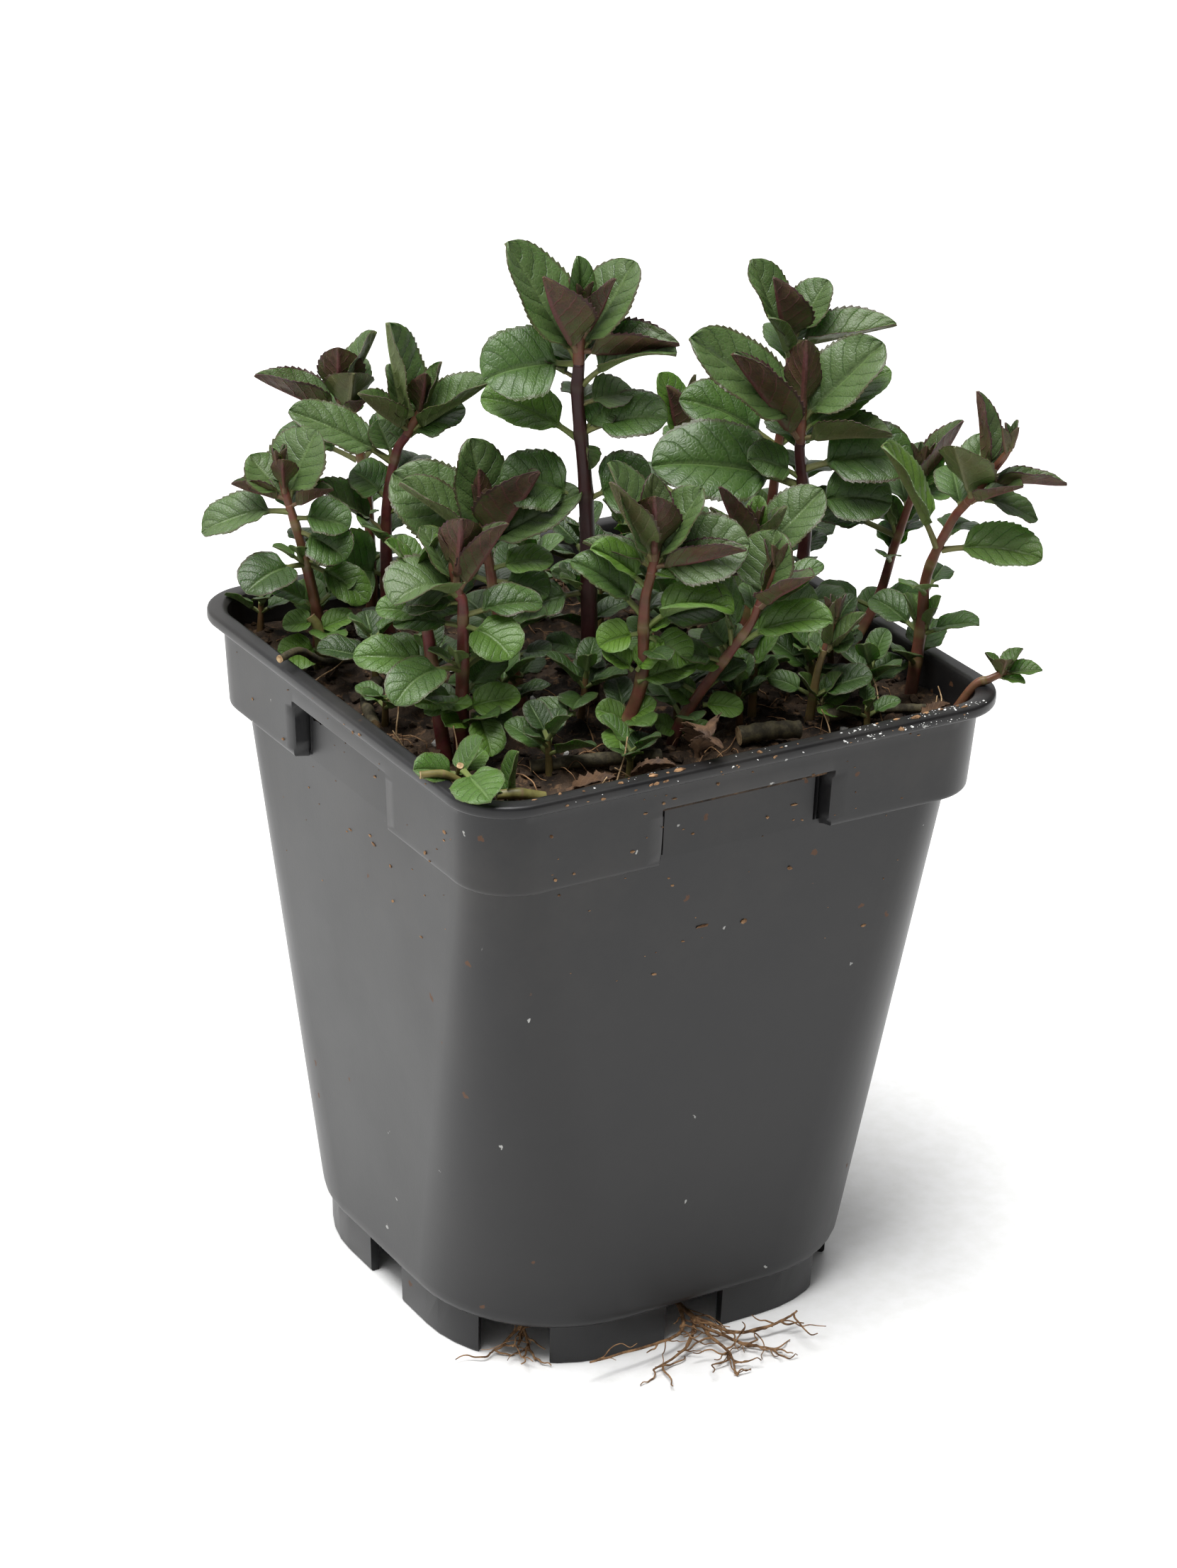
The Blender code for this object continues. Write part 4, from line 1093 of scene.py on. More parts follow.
# ---------------------------------------------------------------- leaves
# Each habit: outline as (share of length, share of half width), teeth per millimetre, tooth depth as a
# share of half width, how the section bends from midrib to rim, and pucker height as a share of length.
HABITS = {
    "young": {"outline": ((0, .10), (.05, .40), (.12, .68), (.24, .93), (.40, 1), (.56, .96), (.71, .80),
                          (.84, .56), (.94, .29), (1, .03)),
              "teeth": 0.8, "depth": 0.055, "bow": 0.30, "pucker": 0.014, "nod": 4},
    "open": {"outline": ((0, .12), (.04, .44), (.11, .74), (.23, .94), (.42, 1), (.60, .97), (.75, .86),
                         (.87, .66), (.95, .42), (.985, .22), (1, .06)),
             "teeth": 0.9, "depth": 0.045, "bow": 0.1, "pucker": 0.018, "nod": -5},
    "grown": {"outline": ((0, .12), (.04, .48), (.11, .78), (.23, .96), (.42, 1), (.60, .97), (.76, .85),
                          (.88, .64), (.955, .40), (.985, .22), (1, .06)),
              "teeth": 0.8, "depth": 0.034, "bow": -1.1, "pucker": 0.010, "nod": -14},
    "round": {"outline": ((0, .14), (.04, .50), (.11, .80), (.24, .97), (.45, 1), (.63, .97), (.78, .85),
                          (.89, .65), (.96, .41), (.985, .25), (1, .08)),
              "teeth": 0.7, "depth": 0.022, "bow": -0.7, "pucker": 0.006, "nod": -12},
}
# How much of a leaf's nod its stalk makes up for.
NOD_SHARE = 0.35
LEAF_ACROSS = (0.0, 0.05, 0.12, 0.24, 0.38, 0.52, 0.66, 0.79, 0.91, 1.0)
SMALL_ACROSS = (0.0, 0.08, 0.25, 0.46, 0.68, 0.88, 1.0)


def outline_width(outline, along):
    """A softened outline's half width at shares of the length."""
    marks = np.array(outline)
    dense = np.linspace(0, 1, 241)
    width = np.interp(dense, marks[:, 0], marks[:, 1])
    soft = np.convolve(np.pad(width, 9, mode="reflect", reflect_type="odd"), np.ones(19) / 19, "valid")
    return np.interp(along, dense, np.maximum(soft, 0.012))


def blade_stations(teeth):
    """Stations along a blade with the depth of the cut there: notches at 1, tooth points below 0."""
    rows = [(0.0, 0.0), (0.025, 0.0), (0.06, 0.0)]
    for k in range(teeth):
        for step, cut in ((0.0, 1.0), (0.45, 0.35), (0.86, -0.3)):
            rows.append((0.1 + 0.87 * (k + step) / teeth, cut))
    return np.array(rows + [(0.982, 0.2), (0.994, 0.0), (1.0, 0.0)])


def add_leaf(lot, root, heading, rise, blade, width, stalk, fold, curl, habit, tone, seed, roll=0.0,
             torn=0.0):
    """One leaf: a stalk that widens into a toothed, veined and puckered blade, as a closed thin skin."""
    draw = random.Random(seed)
    form = HABITS[habit]
    fine = blade > 6.5
    shares = np.array(LEAF_ACROSS if fine else SMALL_ACROSS)
    teeth = max(4, round(blade * form["teeth"]))
    rows = blade_stations(teeth)
    stalk_rows = np.array((-1.0, -0.7, -0.4, -0.15))
    along = np.concatenate((stalk_rows, rows[:, 0]))
    cut = np.concatenate((np.zeros(len(stalk_rows)), rows[:, 1]))
    reach = np.where(along < 0, (1 + along) * stalk, stalk + along * blade)
    on_blade = along >= 0
    total = stalk + blade
    stalk_half = (0.26 + 0.017 * blade) * (1 + 0.25 * np.clip(-along, 0, 1) ** 2)

    # The line of the midrib, with its frame at each station.
    middle = np.concatenate(((0,), (reach[1:] + reach[:-1]) / 2))
    share_mid = np.clip((middle - stalk) / blade, 0, 1)
    nod = form["nod"] * share_mid ** 2
    sway_up = draw.uniform(-3, 3) * np.sin(share_mid * 5)
    angle = np.radians(rise + curl * (middle / total - 0.5) + nod + sway_up)
    sway = draw.uniform(-9, 9)
    turn = np.radians(heading + sway * (share_mid ** 1.5 - 0.25))
    ahead = np.column_stack((np.cos(angle) * np.cos(turn), np.cos(angle) * np.sin(turn), np.sin(angle)))
    steps = np.diff(reach, prepend=0.0)[:, None]
    centre = np.asarray(root, float) + np.cumsum(ahead * steps, axis=0)
    side = np.column_stack((-np.sin(turn), np.cos(turn), np.zeros(len(turn))))
    up = np.cross(ahead, side)
    tilt = np.radians(roll + draw.uniform(-6, 6) + draw.uniform(-10, 10) * np.clip(along, 0, 1))[:, None]
    side, up = np.cos(tilt) * side + np.sin(tilt) * up, np.cos(tilt) * up - np.sin(tilt) * side

    half = np.where(on_blade, outline_width(form["outline"], np.clip(along, 0, 1)) * width / 2, stalk_half)
    half = np.where(on_blade, np.maximum(half, stalk_half * np.clip(1 - along * 5, 0, 1)), half)
    blend_in = np.clip(along / 0.06 + 0.2, 0, 1)
    lean = fold * (1.12 - 0.25 * np.clip(along, 0, 1)) + 16 * np.exp(-((along - 0.03) / 0.09) ** 2)
    phases = [draw.uniform(0, 6.28) for _ in range(6)]
    shift = draw.random()
    wobble = draw.uniform(0.10, 0.24) * min(1.0, blade / 9)
    lopsided = draw.uniform(-0.12, 0.12)

    upper, lower = {}, {}
    for sign in (-1, 1):
        lean_side = np.radians(lean * (1 + sign * lopsided))[:, None]
        ends = shares.copy()
        bow = form["bow"] * (2 * (ends[1:] + ends[:-1])[None, :] / 2 - 1)
        bend = lean_side * (1 + bow) * blend_in[:, None]
        spans = np.diff(ends)[None, :] * half[:, None]
        notch = form["depth"] * half * cut * np.clip(half / 1.2, 0, 1) * on_blade
        ragged = torn * half * (np.sin(along * 37 + sign) > 0.55) * on_blade
        spans[:, -1] = spans[:, -1] - notch
        spans[:, -2:] = spans[:, -2:] - ragged[:, None] * 0.35
        out = np.concatenate((np.zeros((len(along), 1)), np.cumsum(np.cos(bend) * spans, axis=1)), axis=1)
        lift = np.concatenate((np.zeros((len(along), 1)), np.cumsum(np.sin(bend) * spans, axis=1)), axis=1)
        slope = np.concatenate((bend[:, :1] * 0, bend), axis=1)
        normal = (-np.sin(slope)[:, :, None] * side[:, None, :] * sign
                  + np.cos(slope)[:, :, None] * up[:, None, :])
        surface = (centre[:, None, :] + sign * out[:, :, None] * side[:, None, :]
                   + lift[:, :, None] * up[:, None, :])
        u, c = np.clip(along, 0, 1)[:, None], shares[None, :]
        phase = (u - VEIN_SLANT * c ** 1.2) * VEIN_PAIRS + shift + (0.4 if sign > 0 else 0.0)
        puffs = np.abs(np.sin(math.pi * phase)) ** 0.7
        puffs = puffs * np.clip(c / 0.2, 0, 1) * np.clip((1.02 - c) / 0.3, 0, 1) * np.clip(u / 0.1, 0, 1)
        groove = np.exp(-(c * half[:, None] / 0.35) ** 2) * np.clip(u / 0.05, 0, 1) * (1 - 0.6 * u)
        ripple = wobble * c ** 2 * np.sin(u * 13 + phases[0 if sign < 0 else 1])
        ripple = ripple + 0.35 * wobble * np.sin(u * 8 + c * 5 * sign + phases[2])
        height = form["pucker"] * blade * puffs - 0.020 * blade ** 0.8 * groove
        height = height + ripple * np.clip(u / 0.1, 0, 1)
        fade = blend_in[:, None]
        rod_top = 0.45 * stalk_half[:, None] * np.sqrt(np.clip(1 - c ** 2, 0, 1))
        height = fade * height + (1 - fade) * rod_top
        sheet = (0.24 - 0.15 * c ** 3) * np.clip(blade / 10, 0.6, 1)
        near_rib = np.exp(-(c * half[:, None] / (0.9 * stalk_half[:, None])) ** 2)
        rib = stalk_half[:, None] * (1 - 0.8 * u) * near_rib
        rod = 1.5 * stalk_half[:, None] * np.sqrt(np.clip(1 - c ** 2, 0, 1)) + 0.03
        thick = fade * (sheet + rib) + (1 - fade) * rod
        upper[sign] = surface + normal * height[:, :, None]
        lower[sign] = upper[sign] - normal * thick[:, :, None]

    top = np.concatenate((upper[-1][:, :0:-1], upper[1]), axis=1)
    bottom = np.concatenate((lower[-1][:, :0:-1], lower[1]), axis=1)[:, ::-1]
    across_at = np.concatenate((-shares[:0:-1], shares))
    points = np.concatenate((top, bottom), axis=1)
    columns = len(across_at)
    around = 2 * columns
    place = np.zeros(points.shape)
    place[:, :, 0] = along[:, None]
    place[:, :columns, 1] = across_at
    place[:, columns:, 1] = across_at[::-1]
    place[:, :, 2] = shift
    tones = np.broadcast_to(np.asarray(tone, float), points.shape)
    faces = ring_faces(len(along), around)
    finish = [0 if k < columns - 1 else 1 for _ in range(len(along) - 1) for k in range(around)] + [1, 1]
    lot.add(points, faces, finish, blade_place=place, blade_tone=tones)


def add_bud(lot, path, low, high, radius, tone, seed):
    """The tip of a shoot: a short stem that ends in two small unopened leaves."""
    draw = random.Random(seed)
    levels = np.linspace(low, high, 12)
    line = np.array([stem_point(path, z) for z in levels])
    sizes = radius * np.interp(levels, (low, low + 0.6, high - 1.6, high), (0.95, 1.08, 0.85, 0.3))
    layer = np.column_stack((np.ones(12), np.full(12, 0.35), np.full(12, 0.75)))
    add_strand(lot, line, sizes, 16, finish=2, squareness=0.06, stem_place=layer)
    heading = draw.uniform(0, 360)
    for k in range(4):
        root = stem_point(path, high - 1.1 + 0.25 * k)
        twin = k // 2
        add_leaf(lot, root, heading + 180 * (k % 2) + 90 * twin, 66 + 6 * twin, 4.2 - 0.8 * twin, 2.0,
                 0.4, 42, 12, "young", tone, seed + k + 1)


LEAF_FINISHES = (LEAF_TOP, LEAF_UNDER, STEM_SKIN)


def front_lean(heading, amount):
    """Roll that turns a leaf's upper face to the front light, for a leaf of some heading."""
    return amount * math.sin(math.radians(heading - FRONT_HEADING))


FRONT_HEADING = -121.5
PAIR_LEAN = 27.0


# ---------------------------------------------------------------- leaves with a set place
# How a leaf looks: its habit, then age, purple and paleness.
LOOKS = {
    "sage": ("open", (0.80, 0.28, 0.0)),
    "green": ("grown", (0.35, 0.12, 0.0)),
    "fresh": ("round", (0.30, 0.08, 0.5)),
    "pale": ("round", (0.50, 0.05, 0.9)),
    "dusk": ("grown", (0.20, 0.30, 0.0)),
    "olive": ("young", (0.90, 0.55, 0.1)),
    "amber": ("open", (0.80, 0.45, 0.6)),
    "wine": ("young", (0.85, 1.0, 0.0)),
}
# Leaves of each shoot's crown and of its numbered joints. A leaf starts on the stem, so far above the
# shoot's top; its tip lies across, up and out from that top. Then flat width, fold, how far its upper
# face leans to the front, look and curl.
SHAPED = {
    "d": {
        "crown": ((1, (-10.5, 16.5, -3), 10.5, 14, 12, "sage", 6),
            (2, (7.6, 14.2, -3), 9.5, 12, 12, "sage", 4), (4, (-0.5, 15.5, -1), 4.2, 26, 0, "green", 0),
            (2, (-5, 14, 4), 9.5, 40, 0, "wine", 10), (4, (4.6, 13.3, 2), 4.5, 42, 0, "wine", 8),
            (2, (14, 3.8, 1), 8.5, 52, 0, "wine", 6), (-3, (13.8, 2.4, 2), 6.5, 30, 10, "sage", -55),
            (-6, (8, -4.7, -2), 7, 16, 20, "olive", -20)),
        1: ((0, (-13.3, -2.2, 3), 10, 12, 44, "green", -20), (-2, (-6, 0.5, -2), 5, 25, 0, "olive", 0)),
        2: ((-11, (-13.9, -6.0, -1), 8, 14, 28, "fresh", -24),
            (-10, (12.9, -7.5, 2), 7.4, 14, 34, "dusk", -24)),
        3: ((-10, (5, -6.5, -2), 5.5, 14, 25, "green", -10),
            (-11, (2, -15.5, 1), 3.6, 30, 0, "olive", -20),
            (-20, (-11, -18, 1), 8.5, 12, 36, "green", -24), (-20, (11, -17.5, 1), 9, 12, 36, "dusk", -24)),
    },
    "e1": {
        "crown": ((1, (-6.5, 13.8, -3), 7.0, 22, 10, "sage", 0),
            (2, (-3, 13.1, 3), 9.0, 38, 0, "wine", 6), (3, (5.2, 11, -3), 6.5, 16, 10, "sage", 0),
            (2, (15.5, 5.8, 1), 8, 35, 8, "olive", 0), (0, (-3.8, 7.1, 4), 4.2, 25, 0, "green", 0)),
        1: ((-14.5, (-16.8, -7.2, 2), 8.5, 12, 40, "dusk", -20),
            (-14, (9, -9, 2), 8, 14, 30, "green", -20)),
    },
    "e2": {
        "crown": ((3, (-17, 16, 1), 9.5, 16, 34, "sage", 0), (1, (-10.6, 14.9, 4), 9.5, 42, 0, "wine", 4),
            (4, (0, 16.6, 2), 6.5, 44, 0, "wine", 4), (4, (11.5, 15.3, -1), 9, 18, 38, "sage", 0),
            (2, (13, 10.5, -3), 8.5, 12, 24, "fresh", -8), (1, (13, 3.2, 4), 8.5, 42, 0, "olive", -10)),
        1: ((-6.5, (-22.0, -3.5, 3), 12, 12, 44, "dusk", -20),
            (-4, (17, -3, 0), 9.5, 16, 34, "dusk", -26), (-9, (14, -9, 1), 8, 14, 38, "green", -14),
            (-5, (-8, -2, 3), 6, 14, 34, "green", -20)),
    },
    "b": {
        "crown": ((1, (-3, 17, -1), 8.5, 34, 8, "sage", 6), (1, (-3, 10, -3), 6.5, 14, 0, "sage", 0),
            (3, (4.8, 11.3, -1), 5, 26, 0, "olive", 0), (3, (2.7, 10.5, 2), 4.5, 44, 0, "wine", 0),
            (1, (12, 9, 1), 7.5, 36, 18, "sage", 0), (0, (8.7, 3.6, -2), 7, 14, 30, "green", -10),
            (1, (-6.9, 7.5, 3), 6.5, 46, 0, "olive", 0)),
        1: ((-4, (-17.4, 3.9, 2), 6.4, 14, 30, "sage", -14), (-3.5, (-4.5, 1.5, -2), 5, 18, 10, "sage", 0)),
        2: ((-10, (-8.5, -6.3, -1), 7, 10, 26, "green", -20),
            (-15, (-13.7, -6.9, 3), 7, 26, 26, "olive", -14),
            (-12, (4, -9.6, 1), 4.6, 14, 20, "green", -14),
            (-22, (-10.5, -20.5, 3), 10.5, 12, 44, "green", -16)),
    },
    "a": {
        "crown": ((1, (-13.4, 6.7, 2), 7.6, 48, 0, "wine", 8), (2, (-1, 11.3, 2), 7.5, 30, 0, "wine", 6),
            (2, (4.3, 12.6, -2), 6, 30, 0, "sage", 0), (0, (1.3, 8.1, 4), 8.5, 40, 0, "olive", 10),
            (0, (3.2, 3.6, 3), 4, 35, 0, "wine", 0)),
    },
    "c": {
        "crown": ((1, (3.9, 10.6, -3), 9.6, 12, 6, "sage", -14),
            (1, (-6, 6.4, -3), 8.5, 14, 20, "olive", -10), (2, (-0.8, 7.8, 2), 4.5, 38, 0, "wine", 0),
            (1, (-8.3, 3.6, 1), 4.2, 54, 0, "wine", 0), (0, (6.5, 3.4, 2), 4.6, 50, 0, "wine", 0)),
        1: ((-1, (-12.8, -4.5, 1), 6.5, 18, 30, "sage", -40),
            (-2, (9, -3.2, 1), 6.6, 16, 30, "dusk", -20), (-4, (8.5, -7.5, 3), 7, 14, 30, "dusk", -20)),
    },
    "h": {
        "crown": ((5, (0.5, 16.7, 0), 5.2, 52, 0, "wine", 0), (4, (6, 10.3, 0), 5.4, 26, 0, "wine", 0),
            (1, (-2.7, 9.8, 4), 9.0, 18, 0, "olive", -10), (0, (7.2, 4.2, 4), 7.5, 26, 0, "wine", -14),
            (4, (14, 3.2, 0), 4.2, 44, 0, "wine", -10), (1, (10.3, -3.0, -1), 4.6, 14, 20, "sage", -20)),
        1: ((-8, (-13.2, 8.8, 2), 6.6, 24, 34, "amber", -10),
            (-8.5, (11.1, -7.9, 2), 6.6, 20, 34, "amber", -24)),
    },
    "g": {
        "crown": ((1, (6.7, 12.6, 0), 7.2, 34, 0, "wine", -8), (1, (5, 7.6, -2), 5.5, 14, 10, "green", 0),
            (0, (6.5, 1.5, -3), 6.5, 14, 24, "fresh", 0), (2, (1, 6, 2), 3, 40, 0, "wine", 0)),
    },
    "i": {
        "crown": ((1, (-2.7, 15.5, -3), 8, 14, 0, "sage", -6),
            (3, (-1.1, 12.4, 1), 3.4, 36, 0, "wine", 0), (1, (7.1, 13, 3), 11, 38, 0, "wine", 4),
            (1, (13.4, 8.7, -0.5), 7, 16, 38, "sage", 0), (1, (-12.5, 10.1, 2), 7, 36, 14, "sage", 6),
            (0, (-13.6, 9.9, -3), 10, 14, 40, "sage", -6)),
        1: ((-3, (9.7, -1.7, 1), 5.0, 12, 32, "fresh", -20), (-5, (9, -7, 1), 6, 12, 30, "dusk", -20),
            (-5, (-9, -4, 1), 6.5, 12, 34, "green", -20)),
    },
    "j": {
        "crown": ((2, (0.3, 12.3, 2.5), 8.5, 50, -25, "wine", 6),
            (1, (6.5, 11.3, 1), 6.4, 55, 0, "wine", -6), (0, (-8.8, 0.6, 6), 9.4, 26, 0, "sage", -85),
            (1, (-5.6, 8.8, -3), 6, 16, 0, "sage", -10), (0, (-8.4, -0.4, -1), 7, 14, 20, "sage", -24),
            (-1, (-6.9, -2.4, 2), 4.4, 16, 16, "sage", -20)),
        1: ((-4.5, (7.7, -7.6, 5), 7.2, 12, 16, "fresh", -34),
            (-4.5, (-9.2, -4.7, 1), 5.2, 12, 20, "green", -20),
            (-3, (11.8, -2.6, -3), 6, 16, 26, "dusk", -14)),
    },
    "k": {
        "crown": ((1, (-6.4, 15.1, -3), 11, 14, 0, "sage", -4),
            (2, (-6.1, 14.4, 3), 7.5, 34, 0, "olive", 6), (2, (0, 12.6, 3), 8, 34, -14, "wine", 6),
            (1, (6.7, 12, -2), 7.6, 18, 14, "sage", 0), (3, (-0.3, 13.4, -3.5), 5.4, 26, 0, "wine", 0),
            (1, (13.6, 4.2, -1), 9, 12, 42, "sage", -8), (1, (12.9, 5.1, 3), 5, 60, 0, "wine", 0),
            (1, (-9.7, 3.7, -2), 4.6, 35, 10, "olive", -14), (0, (3.3, 0, 2), 2.8, 20, 10, "fresh", 0)),
        1: ((-2, (-8.7, 4.1, 2), 5.4, 34, 34, "fresh", -10),
            (-6, (-11.7, 0.7, -1), 6.4, 24, 30, "green", -24),
            (-8, (11.9, -4.7, 3), 6.8, 34, 22, "fresh", -66),
            (-8, (11, -6.6, -2), 6.4, 14, 30, "dusk", -30)),
        2: ((-9, (-7.1, -10.8, 2), 5, 20, 34, "pale", -14),
            (-9.4, (5.5, -13, 2), 5.4, 12, 34, "fresh", -20), (-9, (3, -6.8, 1), 3, 20, 20, "pale", 0)),
    },
    "l": {
        "crown": ((1, (-5.2, 12.7, 2), 6.4, 38, 0, "wine", -6),
            (3, (0.5, 10, -2), 3.4, 20, 0, "fresh", 0), (1, (4.2, 9.6, 1), 5.4, 38, 0, "olive", -6),
            (1, (9.8, 10.7, -3), 7.6, 14, 24, "sage", 0), (1, (-6.5, 8, -2), 3.6, 34, 0, "olive", 0)),
    },
    "m": {
        "crown": ((1, (2.2, 10.3, -3), 8.2, 12, 0, "sage", -10),
            (0, (7, 6.8, 5), 8.8, 18, 0, "wine", -16), (1, (1.7, 7.4, 0), 2.6, 36, 0, "wine", 0),
            (0, (9.2, 5.2, -3), 4.6, 16, 20, "green", 0)),
        1: ((-6, (-6.8, 4.8, 0), 5.4, 26, 24, "dusk", -10),
            (-5.5, (10.5, -0.6, 4), 5.8, 22, 28, "fresh", -30),
            (-7, (-7, -4, -2), 5.6, 12, 24, "dusk", -10)),
    },
    "f": {
        "crown": ((1, (-4.2, 11.5, -2), 6.4, 14, 6, "fresh", 0),
            (1, (-2.8, 10.9, 2), 6.4, 36, 0, "wine", 0), (2, (1.2, 12.1, 0), 3.6, 26, 0, "olive", 0),
            (0, (9, 7, -2), 7, 14, 20, "green", 0)),
    },
    "n": {
        "crown": ((0, (-2.4, 1.6, 0.5), 3.4, 12, 24, "green", 0),
            (0, (4.2, 2.1, 0.5), 3.8, 12, 24, "green", 0), (0, (0.8, 7.5, 0), 5, 24, 0, "olive", 0),
            (0, (5.4, 6.4, 1), 4, 30, 10, "olive", 0)),
    },
}
ACROSS_HEADING = -31.0
# How much fuller a blade is than its flat width as measured between bent rims.
FULLNESS = {"open": 1.28, "grown": 1.22, "round": 1.16, "young": 1.16}


def spread(across, up, out):
    """A step given as across, up and out, where out faces the front left corner of the pot."""
    turn = math.radians(ACROSS_HEADING)
    return np.array((across * math.cos(turn) + out * math.sin(turn),
                     across * math.sin(turn) - out * math.cos(turn), up))


def rear_leaves(rows):
    """Leaves that round out the far side of a crown and the joint under it, sized from its longest leaf."""
    size = 0.62 * max(math.hypot(tip[0], tip[1]) for _, tip, *_ in rows)
    return (
        (0.5, (0.22 * size, 0.75 * size, -0.7 * size), 0.5 * size, 14, 0, "sage", 6),
        (-1.5, (-0.2 * size, 0.15 * size, -size), 0.52 * size, 12, 0, "green", -10),
        (-7, (0.15 * size, -5 - 0.2 * size, -0.95 * size), 0.5 * size, 12, 0, "dusk", -20),
    )


def add_shaped_leaves(lot, name, part, seed):
    """The leaves of one crown or joint that have a set place."""
    path = [np.array(p, float) for p in SHOOTS[name]["path"]]
    top = path[-1]
    rows = SHAPED[name][part]
    if part == "crown":
        rows = rows + rear_leaves(rows)
    for number, (start, tip, width, fold, face, look, curl) in enumerate(rows):
        habit, tone = LOOKS[look]
        root = stem_point(path, top[2] + start)
        chord = top + spread(*tip) - root
        flat = chord[:2] / max(0.5, float(np.hypot(*chord[:2])))
        share = min(1.0, max(0.0, 1 + start / (top[2] - path[0][2])))
        step = thickness_at(name, share) * 0.6 if start < 0 else 0.35
        root = root + np.array((*flat, 0.0)) * step
        chord = top + spread(*tip) - root
        reach = float(np.linalg.norm(chord))
        heading = math.degrees(math.atan2(chord[1], chord[0]))
        rise = math.degrees(math.asin(chord[2] / reach)) - HABITS[habit]["nod"] * NOD_SHARE
        half_curl = math.radians(abs(curl)) / 2
        length = reach * (half_curl / math.sin(half_curl) if half_curl > 0.02 else 1.0)
        stalk = (0.7 + 0.05 * length) if part == "crown" and start > -2 else 0.22 * length
        draw = random.Random(seed + 3 * number)
        purple = tone[1] + (draw.uniform(-0.08, 0.08) if tone[1] < 0.9 else 0.0)
        pale = tone[2] * draw.uniform(0.7, 1.1)
        add_leaf(lot, root, heading, rise, length - stalk, width * FULLNESS[habit], stalk, fold, curl,
                 habit, (tone[0], purple, pale), seed + 3 * number, roll=front_lean(heading, face))


def pair_tone(z, seed):
    """Age, purple and paleness of a grown leaf, where paleness below zero is painted shade; the low ones
    are fresh and pale.
    """
    draw = random.Random(seed)
    pale = min(1.0, max(0.0, (112.0 - z) / 9.0))
    # A paleness drawn below zero is painted shade: it darkens the leaf as if it stood in shade among the
    # stems.
    return (0.2 + 0.2 * draw.random(), 0.28 * (1 - pale) + 0.08 * draw.random(), draw.uniform(-0.9, 0.35))


def build_crown(name):
    """The growing tip of one shoot with its young leaves."""
    shoot = SHOOTS[name]
    path = [np.array(p, float) for p in shoot["path"]]
    lot = Lot()
    seed = CROWN_SEED + 31 * list(SHOOTS).index(name)
    high = shoot["bud"] + BUD_HEIGHT
    add_bud(lot, path, path[-1][2] - 0.1, high, thickness_at(name, 1.0), (0.9, 0.85, 0.0), seed)
    add_shaped_leaves(lot, name, "crown", seed + 11)
    make_piece("shoot_tip_" + name, lot, LEAF_FINISHES, ["crown_" + name], crease=LEAF_CREASE)


def build_pair(name, number, z, rows):
    """The leaves that spring from one joint of a stem, with small buds beside the low ones."""
    path = [np.array(p, float) for p in SHOOTS[name]["path"]]
    share = min(1.0, max(0.0, (z - path[0][2]) / (path[-1][2] - path[0][2])))
    radius = thickness_at(name, share)
    lot = Lot()
    seed = PAIR_SEED + 97 * list(SHOOTS).index(name) + 13 * number
    if number in SHAPED[name]:
        add_shaped_leaves(lot, name, number, seed)
    for k, row in enumerate(rows):
        heading, rise, blade, width, stalk, fold, curl = row
        out = np.array((math.cos(math.radians(heading)), math.sin(math.radians(heading)), 0))
        habit = "round" if z < 112 or width > 0.86 * blade else "grown"
        add_leaf(lot, stem_point(path, z) + out * radius * 0.7, heading, rise, blade,
                 max(width, 0.66 * blade), stalk + radius * 0.6,
                 fold, curl, habit, pair_tone(z, seed + k), seed + k, roll=front_lean(heading, PAIR_LEAN))
        for twin in (0, 1) if z < 119 and blade > 6.5 else ():
            bud = 2.6 + 0.13 * blade + 0.7 * twin
            add_leaf(lot, stem_point(path, z + 0.5) + out * radius * 0.8, heading + (34 if twin else -38),
                     min(75, rise + 38 + 12 * twin), bud, bud * 0.72, 1.4, 18, -6, "round",
                     (0.8, 0.25, 0.35), seed + 5 + 2 * k + twin, roll=front_lean(heading, 12))
    make_piece("leaf_joint_%s%d" % (name, number), lot, LEAF_FINISHES,
               ["leaf_pair_%s%d" % (name, number)], crease=LEAF_CREASE)


def build_undergrowth():
    """Small opposite leaves low on the stems."""
    for order, (name, shoot) in enumerate(SHOOTS.items()):
        path = [np.array(p, float) for p in shoot["path"]]
        draw = random.Random(LOW_LEAF_SEED + order)
        taken = [pair[0] for pair in shoot["pairs"]]
        lot = Lot()
        for step, z in enumerate((99.0, 103.0, 110.0)):
            if any(abs(z - t) < 3.2 for t in taken) or z > path[-1][2] - 4:
                continue
            for k in (0, 1):
                heading = shoot["turn"] + 90 * (step + 1) + 180 * k + draw.uniform(-18, 18)
                size = draw.uniform(4.6, 7.2)
                # The third tone, paleness, is mostly drawn below zero: painted shade that darkens these low
                # leaves.
                add_leaf(lot, stem_point(path, z), heading, draw.uniform(12, 40), size, size * 0.86,
                         2.0 + draw.uniform(0, 1.4), 12, -18, "round", (0.2, 0.1, draw.uniform(-0.8, 0.35)),
                         LOW_LEAF_SHAPE_SEED + 50 * order + 5 * step + k,
                         roll=front_lean(heading, PAIR_LEAN))
        if lot.points:
            make_piece("low_leaves_" + name, lot, LEAF_FINISHES, crease=LEAF_CREASE)


